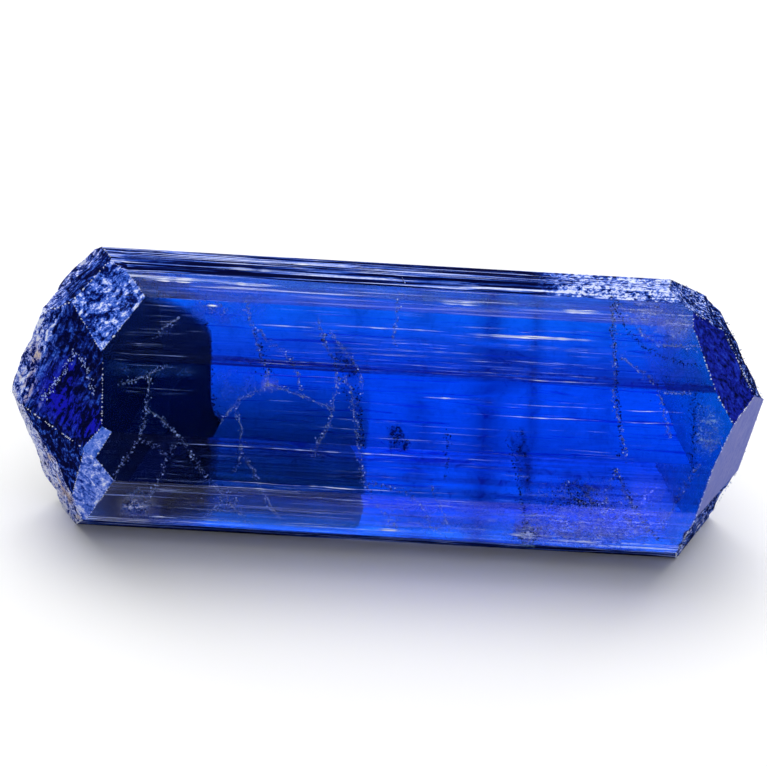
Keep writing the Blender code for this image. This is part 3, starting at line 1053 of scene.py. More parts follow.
def crack_sheet(path, depth, lean, seed):
    """A thin sheet that hangs inwards from a line on the skin. Point (s, t) is the skin under the
    wandering line at s, moved inwards and a little sideways by t times the depth there. Also
    gives t at each point."""
    plan = resample(path, CRACK_STEP)
    steps = np.arange(len(plan)) * CRACK_STEP
    way = np.gradient(plan, axis=0)
    side = unit(np.column_stack((-way[:, 1], way[:, 0])))
    spots = np.column_stack((steps, np.full(len(plan), seed * CRACK_APART), np.zeros(len(plan))))
    plan = plan + side * (value_noise(spots, CRACK_WANDER_RUN, seed) * CRACK_WANDER)[:, None]
    top = on_skin(plan) + INWARDS * CRACK_COVER
    waver = value_noise(spots, CRACK_DEPTH_RUN, seed + CRACK_DEPTH_SEED)
    reach = depth * MM * (CRACK_DEPTH_MEAN + CRACK_DEPTH_SWING * waver)
    drift = side[:, :1] * RUN + side[:, 1:] * RISE
    down = (INWARDS + drift * lean) * reach[:, None]
    share = np.linspace(0.0, 1.0, CRACK_ROWS)
    points = top + down * share[:, None, None]
    depth_share = np.repeat(share, len(plan))
    return points.reshape(-1, 3), grid_corners(CRACK_ROWS, len(plan)), depth_share


def join_parts(parts):
    """Several (points, corners, ...) parts as one, with the corner numbers moved along."""
    points, corners, *extra = zip(*parts)
    starts = np.cumsum([0, *map(len, points[:-1])])
    corners = [numbers + start for numbers, start in zip(corners, starts)]
    return [np.concatenate(column) for column in (points, corners, *extra)]


def crack_material():
    """Pale broken light along a crack, in specks that thin out with depth."""
    material, tree, shader = new_material("crack_light")
    place = object_place(tree)
    specks = noise(tree, place, 7.0, detail=3.0, roughness=0.7)
    patches = noise(tree, place, 0.9, detail=2.0)
    depth, = read_attributes(tree, "depth_share")
    level = plus(tree, specks, times(tree, patches, 0.35), times(tree, depth, -0.22))
    feed(tree, shader, {
        "Base Color": (*CRACK_COLOUR, 1.0), "Roughness": 0.6, "Specular IOR Level": 0.0,
        "Alpha": ramp(tree, level, 0.58, 0.78, 0.0, 0.55),
    })
    return material


class QUARTZ_OT_cracks(bpy.types.Operator):
    """Build the crack sheets that hang inwards from the skin"""

    bl_idname = "quartz.cracks"
    bl_label = "Cracks"

    def execute(self, context):
        parts = [
            crack_sheet(path, depth, lean, seed)
            for seed, (depth, lean, path) in enumerate(CRACKS.values(), start=1)
        ]
        points, corners, depth_share = join_parts(parts)
        mesh = make_mesh("crack_sheets", points, corners)
        write_attributes(mesh, "POINT", depth_share=depth_share)
        add_piece(mesh, crack_material())
        return {"FINISHED"}


# ---------------------------------------------------------------- chips and flecks

# A flake's corners: one to each side of its middle, along its length, breadth and thickness.
FLAKE_POINTS = np.kron(np.diag([1.0, 0.8, 0.45]), [[1.0], [-1.0]])
FLAKE_CORNERS = np.array([
    (0, 2, 4), (2, 1, 4), (1, 3, 4), (3, 0, 4), (2, 0, 5), (1, 2, 5), (3, 1, 5), (0, 3, 5),
])


def flakes(middles, sizes, dice):
    """An eight-sided flake round each middle, turned at random by a random unit quaternion."""
    turn = unit(dice.normal(size=(len(middles), 4)))
    w, x, y, z = turn.T
    rotation = np.stack((
        1 - 2 * (y * y + z * z), 2 * (x * y - z * w), 2 * (x * z + y * w),
        2 * (x * y + z * w), 1 - 2 * (x * x + z * z), 2 * (y * z - x * w),
        2 * (x * z - y * w), 2 * (y * z + x * w), 1 - 2 * (x * x + y * y),
    ), axis=-1).reshape(-1, 3, 3)
    shape = np.einsum("nij,kj->nki", rotation, FLAKE_POINTS) * sizes[:, None, None]
    points = (middles[:, None] + shape).reshape(-1, 3)
    starts = len(FLAKE_POINTS) * np.arange(len(middles))
    return points, (FLAKE_CORNERS[None] + starts[:, None, None]).reshape(-1, 3)


def crystal_edges():
    """Every edge of the flat-faced crystal as (face, face, start, end): the line where two planes
    meet, cut off where any other plane passes."""
    edges = []
    for i, j in itertools.combinations(range(len(NORMALS)), 2):
        way = np.cross(NORMALS[i], NORMALS[j])
        if np.linalg.norm(way) < EDGE_TURN:
            continue
        way = unit(way)
        base = np.linalg.solve([NORMALS[i], NORMALS[j], way], [DISTANCES[i], DISTANCES[j], 0.0])
        others = np.delete(np.arange(len(NORMALS)), (i, j))
        rate = NORMALS[others] @ way
        room = DISTANCES[others] - NORMALS[others] @ base
        closing, opening = rate > PARALLEL, rate < -PARALLEL
        ahead = (room[closing] / rate[closing]).min()
        behind = (room[opening] / rate[opening]).max()
        if ahead - behind > EDGE_SHORTEST and (room[~closing & ~opening] > 0.0).all():
            edges.append((i, j, CENTRE + base + way * behind, CENTRE + base + way * ahead))
    return edges


EDGE_TURN = 0.02             # sine of the least angle between two faces that meet in an edge
EDGE_SHORTEST = 0.3 * MM
EDGE_CHIP_STEP = 0.24 * MM
EDGE_CHIP_SIZE = 0.095 * MM
EDGE_CHIP_INSET = 0.20 * MM  # kept free of chips at both ends of an edge
EDGE_INSET_MOST = 0.45       # share of an edge that this takes at each end, at most
EDGE_CHIP_PLACES = (0.2, 0.8)       # least and most place of a chip along its own step
EDGE_CHIP_STRAY = 0.02 * MM
EDGE_CHIP_SIZES = (0.6, 1.35)       # least and most, times the usual size
EDGE_CHIPS_KEPT = 0.8        # share of the chips, the others are left out
EDGE_CHIP_SEED = 4
CHIP_COLOURS = {
    "edge_chips": (0.74, 0.80, 1.0), "pale_flecks": (0.38, 0.50, 1.0), "dark_flecks": (0.01, 0.015, 0.08),
}
CHIP_DIMMEST = 0.55          # share of its colour that the dimmest chip keeps


def edge_chips(dice):
    """Chips along the edges round the points, strung out evenly with gaps and a little stray.
    The worn edges and those between like faces have none."""
    middles = []
    for i, j, start, end in crystal_edges():
        pair = {FINISHES[i], FINISHES[j]}
        worn = on_faces((i, j), WORN_TOWARDS).any()
        if worn or pair <= {"rough", "satin"} or pair <= {"glassy", "ledged", "flat"}:
            continue
        inset = (end - start) * min(EDGE_INSET_MOST, EDGE_CHIP_INSET / np.linalg.norm(end - start))
        start, end = start + inset, end - inset
        count = int(np.linalg.norm(end - start) / EDGE_CHIP_STEP)
        share = (np.arange(count) + dice.uniform(*EDGE_CHIP_PLACES, count)) / count
        keep = dice.uniform(size=count) < EDGE_CHIPS_KEPT
        middles.append(start + (end - start) * share[keep, None])
    middles = np.vstack(middles)
    middles = middles + dice.normal(scale=EDGE_CHIP_STRAY, size=middles.shape)
    sizes = EDGE_CHIP_SIZE * dice.uniform(*EDGE_CHIP_SIZES, len(middles))
    return flakes(middles, sizes, dice)


def chip_material(name, colour):
    """Small bits of crushed quartz, some of them dimmer."""
    material, tree, shader = new_material(name)
    tone = noise(tree, object_place(tree), 3.0, detail=3.0)
    dim = tuple(CHIP_DIMMEST * value for value in colour)
    feed(tree, shader, {
        "Base Color": blend(tree, ramp(tree, tone, 0.35, 0.6), dim, colour),
        "Roughness": 0.6, "Specular IOR Level": 0.0,
    })
    return material


def add_chips(name, points, corners):
    """Puts a swarm of chips or flecks into the scene, in its own colour."""
    add_piece(make_mesh(name, points, corners), chip_material(name[:-1], CHIP_COLOURS[name]))


class QUARTZ_OT_edge_chips(bpy.types.Operator):
    """Build the worn chips along the edges of the two points"""

    bl_idname = "quartz.edge_chips"
    bl_label = "Edge Chips"

    def execute(self, context):
        add_chips("edge_chips", *edge_chips(np.random.default_rng(EDGE_CHIP_SEED)))
        return {"FINISHED"}


# Clusters of flecks as (along, up, spread along, spread up, count, size, deepest), in mm.
WHITE_CLUSTERS = (
    (26.1, -1.6, 0.5, 0.5, 90, 0.07, 0.3),
    (25.6, -0.6, 0.8, 1.6, 110, 0.045, 0.6),
    (16.0, -8.0, 4.5, 1.6, 420, 0.05, 0.8),
    (12.0, -9.6, 0.8, 0.9, 120, 0.07, 0.4),
    (20.6, 7.6, 2.0, 1.1, 260, 0.045, 0.4),
    (18.3, 5.5, 0.5, 2.2, 90, 0.05, 0.4),
    (-12.3, -8.8, 0.7, 0.6, 90, 0.06, 0.3),
    (-19.3, -9.9, 1.0, 0.4, 50, 0.05, 0.3),
    (-9.2, 0.7, 0.5, 0.5, 40, 0.06, 0.3),
    (-1.0, -9.8, 8.0, 0.35, 200, 0.045, 0.3),
    (12.0, -9.8, 0.6, 0.5, 170, 0.09, 0.15),
    (17.2, -9.6, 2.4, 0.5, 260, 0.06, 0.15),
    (20.5, -8.6, 1.3, 0.9, 170, 0.06, 0.2),
    (-14.2, 6.7, 0.5, 0.3, 60, 0.07, 0.2),
)
DARK_CLUSTERS = (
    (24.9, 0.0, 0.4, 1.6, 130, 0.055, 0.2),
    (-1.9, -2.6, 0.25, 1.6, 60, 0.05, 0.2),
    (-10.0, 2.8, 0.5, 0.7, 50, 0.06, 0.3),
    (16.0, -6.5, 4.0, 1.4, 120, 0.05, 0.3),
    (11.3, -5.5, 0.5, 2.0, 60, 0.05, 0.3),
    (21.4, 2.6, 1.0, 0.6, 50, 0.05, 0.2),
    (13.4, -8.3, 0.9, 1.1, 130, 0.07, 0.2),
    (19.4, -8.0, 1.5, 1.3, 170, 0.06, 0.2),
    (16.2, -7.2, 1.0, 0.4, 110, 0.08, 0.2),
)
# Dark flecks strung along these lines of the front view, in mm.
DARK_LINES = (
    ((-14.7, 5.5), (-14.1, 3.7), (-13.9, 0.9), (-13.8, -0.3), (-13.1, -1.9), (-12.9, -2.4)),
    ((-10.7, 5.1), (-10.0, 3.4), (-9.5, 2.3), (-9.1, 1.6)),
    ((-5.3, 5.0), (-4.2, 3.0), (-3.3, 1.1), (-3.0, -0.1)),
    ((-2.5, 1.1), (-2.0, -0.8), (-1.7, -2.8), (-1.5, -4.0)),
    ((5.08, -2.03), (5.17, -3.63), (5.22, -5.87)),
    ((9.76, -2.57), (10.77, -4.76), (11.39, -7.28), (11.77, -9.67)),
    ((24.57, 1.88), (24.71, -0.52), (24.74, -2.52), (24.7, -3.8)),
    ((17.7, 9.5), (17.8, 6.7), (18.3, 3.5), (18.4, 1.1), (19.0, -2.0), (18.9, -3.2)),
    ((17.8, 9.1), (18.9, 6.8), (20.1, 5.6), (22.4, 4.6), (25.0, 4.1)),
    ((18.4, -4.1), (19.3, -5.4), (20.4, -7.4), (21.8, -9.1), (22.6, -9.9)),
    ((14.7, -5.5), (15.4, -6.7), (16.8, -7.3), (17.6, -7.2)),
)
PALE_FLECK_SEED = 5
DARK_FLECK_SEED = 6
FLECK_LARGEST = 1.6          # times the usual size
CLUSTER_FLECK_SPREAD = 0.4   # of the logarithm of a fleck's size
CLUSTER_DEPTHS = (0.12, 0.2)        # mm: the least depth, and the least that the deepest may be
FLECK_COVER = 0.05 * MM      # flecks of a cluster that lie less deep are left out
CRACK_FLECKS_PER_MM = 22.0
CRACK_FLECKS_KEPT = 0.75     # share of them, the others are left out
CRACK_FLECK_SIZE = 0.076 * MM
CRACK_FLECK_SPREAD = 0.45
CRACK_FLECK_STRAY = 0.13     # mm to either side of the crack
CRACK_FLECK_DEPTHS = (0.0, 0.4)     # mm
# The cracks whose names start so run over frosted ground, and their flecks lie in the skin.
SKIN_CRACKS = "point"
SKIN_FLECK_DEPTHS = (-0.03, 0.03)   # mm


def fleck_sizes(spread, count, dice):
    """Sizes round one whose logarithms follow the normal law, with a largest."""
    return np.minimum(dice.lognormal(sigma=spread, size=count), FLECK_LARGEST)


def strung_flecks(paths, dice, depths=CRACK_FLECK_DEPTHS):
    """Flecks strung along lines of the skin with gaps, straying to both sides by the normal law,
    at depths in mm drawn evenly from a range."""
    middles = []
    for path in paths:
        length = run_lengths(path).sum()
        line = resample(path, length / int(length * CRACK_FLECKS_PER_MM))
        line = line + dice.normal(scale=CRACK_FLECK_STRAY, size=line.shape)
        under = dice.uniform(*depths, len(line)) * MM
        keep = dice.uniform(size=len(line)) < CRACK_FLECKS_KEPT
        middles.append((on_skin(line) + INWARDS * under[:, None])[keep])
    middles = np.vstack(middles)
    sizes = CRACK_FLECK_SIZE * fleck_sizes(CRACK_FLECK_SPREAD, len(middles), dice)
    return flakes(middles, sizes, dice)


def fleck_clusters(clusters, dice):
    """Flecks scattered round each cluster's middle by the normal law, under the skin."""
    middles, sizes = [], []
    least, deepest = CLUSTER_DEPTHS
    for along, up, wide, high, count, size, depth in clusters:
        plan = dice.normal(size=(count, 2)) * (wide, high) + (along, up)
        under = dice.uniform(least, max(deepest, depth), count) * MM
        middles.append(on_skin(plan) + INWARDS * under[:, None])
        sizes.append(size * MM * fleck_sizes(CLUSTER_FLECK_SPREAD, count, dice))
    middles, sizes = np.vstack(middles), np.concatenate(sizes)
    inside = face_slack(middles).min(axis=1) > FLECK_COVER
    return flakes(middles[inside], sizes[inside], dice)


class QUARTZ_OT_flecks(bpy.types.Operator):
    """Build the pale and dark flecks under the skin"""

    bl_idname = "quartz.flecks"
    bl_label = "Flecks"

    def execute(self, context):
        frosted = [row[2] for name, row in CRACKS.items() if name.startswith(SKIN_CRACKS)]
        clear = [row[2] for name, row in CRACKS.items() if not name.startswith(SKIN_CRACKS)]
        dice = np.random.default_rng(PALE_FLECK_SEED)
        add_chips("pale_flecks", *join_parts([
            fleck_clusters(WHITE_CLUSTERS, dice),
            strung_flecks(clear, dice),
            strung_flecks(frosted, dice, SKIN_FLECK_DEPTHS),
        ]))
        dice = np.random.default_rng(DARK_FLECK_SEED)
        add_chips("dark_flecks", *join_parts([
            fleck_clusters(DARK_CLUSTERS, dice), strung_flecks(DARK_LINES, dice),
        ]))
        return {"FINISHED"}


# ---------------------------------------------------------------- veils and painted glows under the skin

# Thin cloudy sheets as (kind, depth in mm, haze, grain, outline on the front view in mm): haze is
# the share of light that the smooth cloud stops, grain the share that its specks stop. The lens,
# crackle, mottled and blot sheets are clouds in the quartz and the dark sheets are blotches; the
# glow, sheen, light, bright, band and low painted glow sheets are painted light, pale cloud put
# where the crystal looks lit.
VEILS = {
    "upper_lens": ("blue", 0.30, 0.45, 0.9, (
        (17.83, 9.11), (19.86, 10.03), (23.9, 9.45), (24.57, 7.49), (24.59, 5.73), (22.35, 5.68),
        (20.72, 6.15), (19.45, 7.36))),
    "right_crackle": ("pale", 0.30, 0.15, 0.8, (
        (24.66, 1.81), (26.14, 1.17), (27.35, -0.37), (26.8, -2.0), (25.84, -3.42),
        (24.75, -2.68))),
    "mottled_low": ("blue", 0.35, 0.55, 0.85, (
        (11.15, -5.86), (14.29, -4.71), (18.28, -4.49), (21.62, -6.7), (23.35, -9.01),
        (21.04, -10.58), (14.63, -10.71), (10.77, -10.36), (10.08, -8.16))),
    "bright_blot": ("pale", 0.20, 0.7, 1.0, (
        (11.2, -9.54), (12.13, -9.0), (12.99, -10.0), (12.65, -11.06), (11.44, -10.97))),
    "low_painted_glow": ("blue", 0.40, 0.45, 0.4, (
        (-1.5, -7.3), (8.0, -7.3), (17.0, -7.2), (22.0, -7.2), (22.0, -9.6), (16.0, -10.8),
        (6.5, -10.6), (0.0, -10.4), (-2.5, -9.8))),
    "low_glow": ("blue", 0.30, 0.9, 0.5, (
        (-20.59, -8.46), (-19.19, -7.74), (-17.73, -8.14), (-18.23, -10.57), (-19.41, -10.88),
        (-20.82, -10.08))),
    "left_sheen": ("blue", 0.25, 1.0, 0.1, (
        (-21.4, 10.3), (-16.5, 10.3), (-15.8, 7.6), (-18.8, 6.5), (-20.2, 7.3))),
    "left_light": ("blue", 0.28, 0.6, 0.2, (
        (-18.0, 8.4), (-13.0, 8.8), (-8.5, 8.3), (-9.0, 6.2), (-12.8, 4.6), (-15.4, 5.6))),
    "upper_left_glow": ("blue", 0.30, 0.7, 0.25, (
        (-16.41, 6.68), (-14.83, 7.09), (-13.22, 6.94), (-12.36, 5.95), (-13.11, 5.1),
        (-14.72, 5.25), (-15.97, 5.98))),
    "cell_bright": ("blue", 0.40, 0.45, 0.2, (
        (-13.98, 2.09), (-11.76, 2.46), (-9.65, 1.93), (-9.27, 0.91), (-9.88, 0.48),
        (-11.59, -0.58), (-12.62, -2.08), (-13.72, -1.1))),
    "shoulder_glow": ("pale", 0.25, 0.32, 0.1, (
        (-18.2, 10.1), (1.4, 9.8), (17.6, 9.0), (17.6, 7.4), (1.4, 7.9), (-18.2, 8.6))),
    "light_band": ("blue", 0.25, 0.35, 0.1, (
        (-22.55, 2.0), (-18.15, 2.09), (-14.14, 2.08), (-14.02, 1.0), (-18.1, 0.8),
        (-22.5, 0.75))),
    "right_glow": ("blue", 0.30, 0.8, 0.12, (
        (19.5, 6.9), (24.7, 6.1), (25.8, 2.3), (20.6, 2.3))),
    "wedge": ("dark", 0.50, 0.55, 0.9, (
        (9.5, -1.4), (11.2, -1.3), (12.1, -4.2), (12.1, -6.6), (11.3, -6.5), (10.4, -3.7))),
    "blotch": ("dark", 0.50, 0.40, 0.9, (
        (0.0, -1.8), (1.1, -1.5), (2.4, -3.3), (2.1, -4.0), (0.5, -3.9))),
    "low_blotch": ("dark", 0.45, 0.5, 0.9, (
        (14.6, -5.3), (15.9, -4.9), (17.3, -6.1), (17.0, -7.1), (15.6, -7.0))),
    "shoulder_blotch": ("dark", 0.40, 0.45, 0.7, (
        (-4.7, 4.9), (-2.9, 4.1), (-1.9, 1.6), (-2.7, 0.9), (-4.1, 2.6))),
}
# Colours of the kinds: of the haze, which in the glow sheets is painted light, and of the specks.
VEIL_COLOURS = {
    "pale": ((0.34, 0.74, 1.0), (0.80, 0.92, 1.0)),
    "blue": ((0.05, 0.22, 1.0), (0.50, 0.62, 1.0)),
    "dark": ((0.0, 0.006, 0.10), (0.0, 0.002, 0.03)),
}
VEIL_PITS = (0.002, 0.008, 0.10)    # colour of the dark specks
VEIL_SPOKES = 72
VEIL_RINGS = 14
VEIL_GLOW = (0.6, 0.35)      # share of its light that passes through a veil: the haze, the specks
VEIL_FADE = 0.35             # share of the way in over which a veil's border fades
VEIL_CORE = 0.01             # share of the way out at which the innermost ring stands


def veil_sheet(depth, haze, grain, outline):
    """One sheet under the skin, and at each point how much haze and how many specks it has: both
    rise from nothing at the outline to their full share some way in."""
    shares = np.linspace(VEIL_CORE, 1.0, VEIL_RINGS + 1)
    plan, columns = ringed_places(outline, VEIL_SPOKES, shares)
    points = on_skin(plan) + INWARDS * depth * MM
    soft = np.repeat(np.clip((1.0 - shares) / VEIL_FADE, 0.0, 1.0), columns)
    return points, grid_corners(len(shares), columns, wrap=True), soft * haze, soft * grain


def veil_material(kind):
    """A cloud with specks in it, see-through where there is neither; in the glow sheets the cloud is
    painted light.
    """
    material, tree, shader = new_material(kind + "_skin_sheet")
    haze_colour, speck_colour = VEIL_COLOURS[kind]
    place = object_place(tree)
    cloud = noise(tree, place, 0.9, detail=5.0, roughness=0.65, distortion=0.8)
    grains = noise(tree, place, 3.2, roughness=0.62, distortion=1.6)
    haze, grain = read_attributes(tree, "haze", "grain")
    mist = times(tree, haze, ramp(tree, cloud, 0.36, 0.62, 0.25, 1.0))
    level = plus(tree, grains, times(tree, cloud, 0.6))
    specks = times(tree, grain, ramp(tree, level, 0.84, 0.92))
    pits = times(tree, grain, ramp(tree, level, 0.70, 0.62))
    marks = plus(tree, specks, pits)
    ground = blend(tree, pits, haze_colour, VEIL_PITS)
    feed(tree, shader, {
        "Base Color": blend(tree, specks, ground, speck_colour),
        "Roughness": 0.7, "Alpha": clamp(tree, plus(tree, mist, marks)),
        "Specular IOR Level": 0.0, "IOR": 1.1,
        "Transmission Weight": ramp(tree, marks, 0.0, 0.8, *VEIL_GLOW),
    })
    return material


class QUARTZ_OT_veils(bpy.types.Operator):
    """Build the cloudy veils, the sheets of painted glow and the dark blotches under the skin"""

    bl_idname = "quartz.veils"
    bl_label = "Veils and Painted Glows"

    def execute(self, context):
        for kind in VEIL_COLOURS:
            sheets = [veil_sheet(*row[1:]) for row in VEILS.values() if row[0] == kind]
            points, corners, haze, grain = join_parts(sheets)
            mesh = make_mesh(kind + "_skin_sheets", points, corners)
            write_attributes(mesh, "POINT", haze=haze, grain=grain)
            add_piece(mesh, veil_material(kind))
        return {"FINISHED"}


# ---------------------------------------------------------------- ledges painted as highlights

# Long thin ledges on the skin, painted white as highlights, as (start, end, up, width) on the front view
# in mm.
HIGHLIGHT_LEDGES = (
    (-20.7, -14.1, 8.72, 0.44), (-15.3, -7.9, 8.64, 0.28), (-14.7, -7.4, 9.84, 0.32),
    (-9.8, -3.4, 10.53, 0.20), (3.5, 7.5, 8.18, 0.46), (13.2, 17.3, 7.97, 0.38),
    (5.3, 17.6, 5.73, 0.26), (-7.1, 5.3, 5.77, 0.10), (-11.1, -5.4, 5.52, 0.12),
    (2.8, 7.2, 0.50, 0.10), (6.8, 18.2, 0.36, 0.07), (5.6, 18.3, -0.61, 0.06),
    (18.2, 24.4, 0.38, 0.06), (18.3, 24.4, -0.55, 0.06),
    (-17.6, 9.6, -7.10, 0.07), (-17.5, -4.0, -7.55, 0.05), (-20.2, 12.6, -4.26, 0.09),
    (9.1, 18.3, 2.36, 0.06), (-0.6, 3.0, -10.28, 0.22), (4.6, 6.9, -10.22, 0.20),
    (10.2, 12.3, -10.02, 0.40), (13.0, 18.7, -10.32, 0.20), (-18.6, -15.6, -10.22, 0.16),
    (-14.9, -9.6, -10.26, 0.13), (-7.4, -2.2, -10.30, 0.15), (-14.7, -13.6, 6.75, 0.20),
)
LEDGE_STEP = 0.25            # mm between points along a ledge
LEDGE_FEWEST = 8             # points along the shortest
LEDGE_STRAY = 0.05           # mm that a ledge wavers up and down
LEDGE_LIFT = 0.25            # height of a ledge over the skin, as a share of its half width
LEDGE_SHARP = math.radians(40.0)    # edges that turn more than this stay sharp
# Noise of a ledge's waver and of its roughness, as (layer, cell in mm, seed).
LEDGE_NOISES = ((0.0, 2.5, 31), (1.0, 0.6, 32))
LEDGE_MEAN = 0.75            # share of its width and of its glow that a ledge has in the mean
LEDGE_SWINGS = (0.45, 0.5)   # by which the roughness varies its width and its glow
LEDGE_POWERS = (0.5, 1.5)    # of the sine arch that its width and its glow follow
# A ledge's colours: clear blue, and white where it is painted as a highlight.
LEDGE_COLOURS = ((0.12, 0.28, 1.0), (0.92, 0.94, 1.0))      # where it is clear, where frosted

# Bands of fine lines with painted highlights as (from, to, low, high) on the front view in mm, with count
# and light.
FINE_BANDS = (
    (-23.0, -14.0, 2.5, 7.5, 30, 0.40), (-23.0, -13.8, -0.5, 2.2, 12, 0.30),
    (-13.5, 24.0, 2.3, 5.0, 60, 0.45), (-13.5, 24.0, 5.0, 8.2, 40, 0.35),
    (-12.0, 22.0, -4.0, 2.0, 40, 0.30), (-20.0, 22.0, -7.0, -4.4, 24, 0.30),
    (-21.0, 20.0, -10.6, -7.2, 90, 0.55),
)
FINE_LENGTHS = (2.0, 15.0)   # mm
FINE_WIDTHS = (0.03, 0.07)   # mm
FINE_LIGHTS = (0.3, 1.0)     # least and most, times the band's light
FINE_LINE_SEED = 8


def fine_lines(dice):
    """Ledge rows strewn evenly over each band, more of them short than long."""
    rows = []
    shortest, longest = FINE_LENGTHS
    for start, end, low, high, count, light in FINE_BANDS:
        spare = min(longest, end - start) - shortest
        length = shortest + spare * dice.uniform(size=count) ** 2
        first = dice.uniform(start, end - length)
        widths = dice.uniform(*FINE_WIDTHS, count)
        lights = light * dice.uniform(*FINE_LIGHTS, count)
        up = dice.uniform(low, high, count)
        rows.append(np.column_stack((first, first + length, up, widths, lights)))
    return np.vstack(rows)


def bright_ledge(start, end, up, width, light=1.0):
    """A sliver standing on the skin: four points round it at each step, as wide as a power of a
    sine arch over its length times an uneven factor, so that it tapers to nothing at both ends.
    Also gives its painted highlight at each point: its light, times another power and an uneven factor."""
    count = max(LEDGE_FEWEST, int((end - start) / LEDGE_STEP))
    share = np.linspace(0.0, 1.0, count)
    arch = np.sin(math.pi * share)
    along = start + (end - start) * share
    waver, rough = (
        value_noise(np.column_stack((along, np.full(count, up), np.full(count, layer))), cell, seed)
        for layer, cell, seed in LEDGE_NOISES
    )
    half = width / 2 * arch ** LEDGE_POWERS[0] * (LEDGE_MEAN + LEDGE_SWINGS[0] * rough)
    half[[0, -1]] = 0.0
    centre = np.column_stack((along, up + LEDGE_STRAY * waver))
    breadth = [0, 1] * half[:, None]
    lift = VIEW * (LEDGE_LIFT * half * MM)[:, None]
    middle = on_skin(centre)
    ring = np.stack(
        (on_skin(centre + breadth), middle + lift, on_skin(centre - breadth), middle - lift), axis=1
    )
    points, corners = ring.reshape(-1, 3), grid_corners(count, 4, wrap=True)
    glow = light * arch ** LEDGE_POWERS[1] * (LEDGE_MEAN + LEDGE_SWINGS[1] * rough)
    return points, outward(points, corners), np.repeat(glow, 4)


def ledge_material():
    """A ledge painted white at its middle as a highlight, which clears towards its two ends."""
    material, tree, shader = new_material("painted_ledge_highlight")
    glow, = read_attributes(tree, "glow")
    lines = noise(tree, object_place(tree, (0.35, 6.0, 6.0)), 1.0, detail=3.0)
    share = clamp(tree, times(tree, glow, ramp(tree, lines, 0.35, 0.62, 0.15, 1.1)), 0.95)
    feed(tree, shader, {
        "Base Color": blend(tree, share, *LEDGE_COLOURS),
        "Roughness": 0.4, "Alpha": share, "Specular IOR Level": 0.0,
    })
    return material


class QUARTZ_OT_bright_ledges(bpy.types.Operator):
    """Build the thin growth ledges, painted white as highlights"""

    bl_idname = "quartz.bright_ledges"
    bl_label = "Painted Highlight Ledges"

    def execute(self, context):
        rows = [*HIGHLIGHT_LEDGES, *fine_lines(np.random.default_rng(FINE_LINE_SEED))]
        points, corners, glow = join_parts([bright_ledge(*row) for row in rows])
        mesh = make_mesh("bright_ledges", points, corners, LEDGE_SHARP)
        write_attributes(mesh, "POINT", glow=glow)
        add_piece(mesh, ledge_material())
        return {"FINISHED"}


# ---------------------------------------------------------------- stage

class StageSettings(bpy.types.PropertyGroup):
    """Floor and light."""

    floor_colour: colour_setting("Floor colour", "Colour of the pale floor", (0.95, 0.95, 0.95))
    light_strength: bpy.props.FloatProperty(
        name="Light", description="Strength of the light from behind and above", default=2.35, min=0.0,
    )


FLOOR_SIDE = 3.0
# Shares of the light as (from, to, share at the first, share at the second): by how far back it
# stands, and by how far to the side, as parts of its direction.
LIGHT_BACK = (-0.7, 0.4, 0.36, 1.0)
LIGHT_ASIDE = (0.40, 0.75, 1.0, 0.05)
BOUNCES = 24                 # of light inside the crystal
GLOSSY_BOUNCES = 12

# Camera: it looks at the front view from this far, rolled, at this scale at the crystal.
CAMERA_ROLL = math.radians(3.26)
CAMERA_DISTANCE = 1.5
CAMERA_SEES = 20.0           # metres
METRES_PER_PIXEL = 0.08 * MM
PICTURE_SIDE = 767
SENSOR_WIDTH = 36.0
AIM_OFFSET = (1.5, 17.5)     # pixels right and down from the view's middle to the crystal's centre


def add_floor(settings):
    """A wide flat floor."""
    half = FLOOR_SIDE / 2
    mesh = bpy.data.meshes.new("floor")
    corners = [(-half, -half, 0), (half, -half, 0), (half, half, 0), (-half, half, 0)]
    mesh.from_pydata(corners, [], [(0, 1, 2, 3)])
    material, tree, shader = new_material("pale_floor")
    feed(tree, shader, {
        "Base Color": (*settings.floor_colour, 1.0), "Roughness": 0.9, "Specular IOR Level": 0.1,
    })
    mesh.materials.append(material)
    floor = bpy.data.objects.new("floor", mesh)
    bpy.context.scene.collection.objects.link(floor)


def add_world(settings):
    """Soft white light, strongest from behind and above, weak from the front and from the sides
    where they are low: the strength is a smooth step of how far back the light stands, times one
    of how far to the side."""
    world = bpy.data.worlds.new("studio")
    world.use_nodes = True
    tree = world.node_tree
    place = tree.nodes.new("ShaderNodeTexCoord").outputs["Generated"]
    split = tree.nodes.new("ShaderNodeSeparateXYZ")
    tree.links.new(place, split.inputs["Vector"])
    back = ramp(tree, split.outputs["Y"], *LIGHT_BACK)
    middle = ramp(tree, calc(tree, "ABSOLUTE", split.outputs["X"], 0.0), *LIGHT_ASIDE)
    strength = times(tree, back, middle, settings.light_strength)
    feed(tree, tree.nodes["Background"], {"Color": (*WHITE, 1.0), "Strength": strength})
    bpy.context.scene.world = world


def add_camera():
    """The camera, turned by yaw, height and roll about the crystal's centre."""
    right = RUN * math.cos(CAMERA_ROLL) + RISE * math.sin(CAMERA_ROLL)
    up = -RUN * math.sin(CAMERA_ROLL) + RISE * math.cos(CAMERA_ROLL)
    aim = CENTRE + (up * AIM_OFFSET[1] - right * AIM_OFFSET[0]) * METRES_PER_PIXEL
    data = bpy.data.cameras.new("camera")
    data.sensor_width = SENSOR_WIDTH
    data.lens = SENSOR_WIDTH * CAMERA_DISTANCE / (PICTURE_SIDE * METRES_PER_PIXEL)
    data.clip_end = CAMERA_SEES
    camera = bpy.data.objects.new("camera", data)
    turn = Matrix(np.column_stack((right, up, VIEW)).tolist())
    camera.matrix_world = Matrix.Translation(Vector(aim + VIEW * CAMERA_DISTANCE)) @ turn.to_4x4()
    bpy.context.scene.collection.objects.link(camera)
    bpy.context.scene.camera = camera


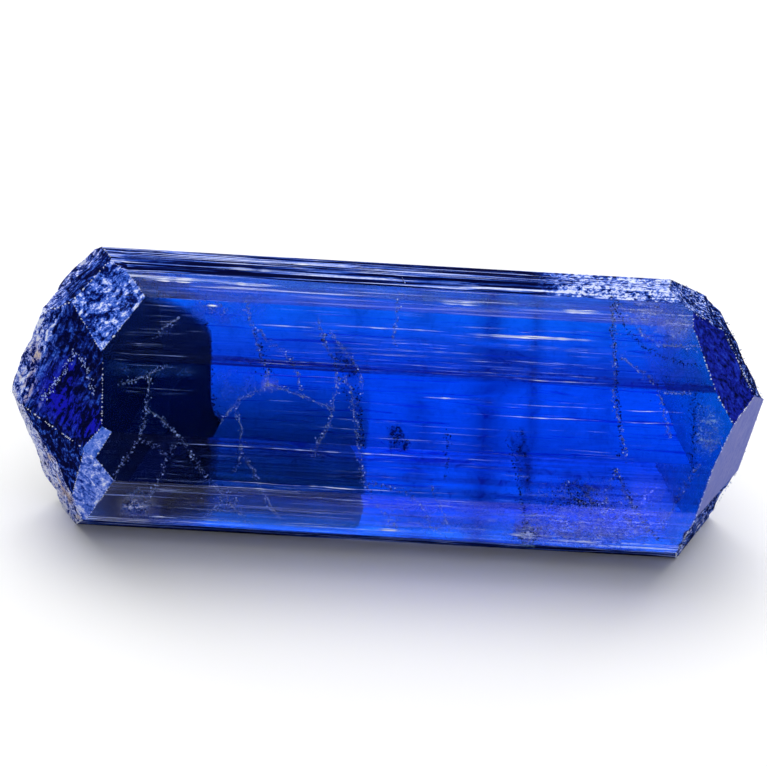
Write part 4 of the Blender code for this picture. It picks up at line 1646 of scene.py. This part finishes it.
class QUARTZ_OT_stage(bpy.types.Operator):
    """Set up the floor, the light and the camera"""

    bl_idname = "quartz.stage"
    bl_label = "Stage"

    def execute(self, context):
        scene = context.scene
        add_floor(scene.quartz_stage)
        add_world(scene.quartz_stage)
        add_camera()
        scene.view_settings.view_transform = "Standard"
        scene.cycles.max_bounces = BOUNCES
        scene.cycles.glossy_bounces = GLOSSY_BOUNCES
        scene.cycles.transmission_bounces = BOUNCES
        scene.cycles.transparent_max_bounces = BOUNCES
        return {"FINISHED"}


class QUARTZ_PT_panel(bpy.types.Panel):
    """The quartz crystal's pieces"""

    bl_label = "Quartz Crystal"
    bl_space_type = "VIEW_3D"
    bl_region_type = "UI"
    bl_category = "Quartz"

    def draw(self, context):
        for operator in OPERATORS:
            self.layout.operator(operator.bl_idname)


OPERATORS = (
    QUARTZ_OT_surface, QUARTZ_OT_zones, QUARTZ_OT_cracks, QUARTZ_OT_edge_chips,
    QUARTZ_OT_flecks, QUARTZ_OT_veils, QUARTZ_OT_bright_ledges, QUARTZ_OT_stage,
)
CLASSES = (QuartzSurfaceSettings, ZoneSettings, StageSettings, *OPERATORS, QUARTZ_PT_panel)


def register():
    """Adds the classes, and their settings to the scene."""
    for cls in CLASSES:
        bpy.utils.register_class(cls)
    bpy.types.Scene.quartz_surface = bpy.props.PointerProperty(type=QuartzSurfaceSettings)
    bpy.types.Scene.quartz_zones = bpy.props.PointerProperty(type=ZoneSettings)
    bpy.types.Scene.quartz_stage = bpy.props.PointerProperty(type=StageSettings)


def unregister():
    """Takes the classes and their settings away."""
    del bpy.types.Scene.quartz_surface
    del bpy.types.Scene.quartz_zones
    del bpy.types.Scene.quartz_stage
    for cls in reversed(CLASSES):
        bpy.utils.unregister_class(cls)


def main():
    """Registers the add-on and builds every piece in order."""
    register()
    bpy.ops.quartz.surface()
    bpy.ops.quartz.zones()
    bpy.ops.quartz.cracks()
    bpy.ops.quartz.edge_chips()
    bpy.ops.quartz.flecks()
    bpy.ops.quartz.veils()
    bpy.ops.quartz.bright_ledges()
    bpy.ops.quartz.stage()


if __name__ == "__main__":
    main()
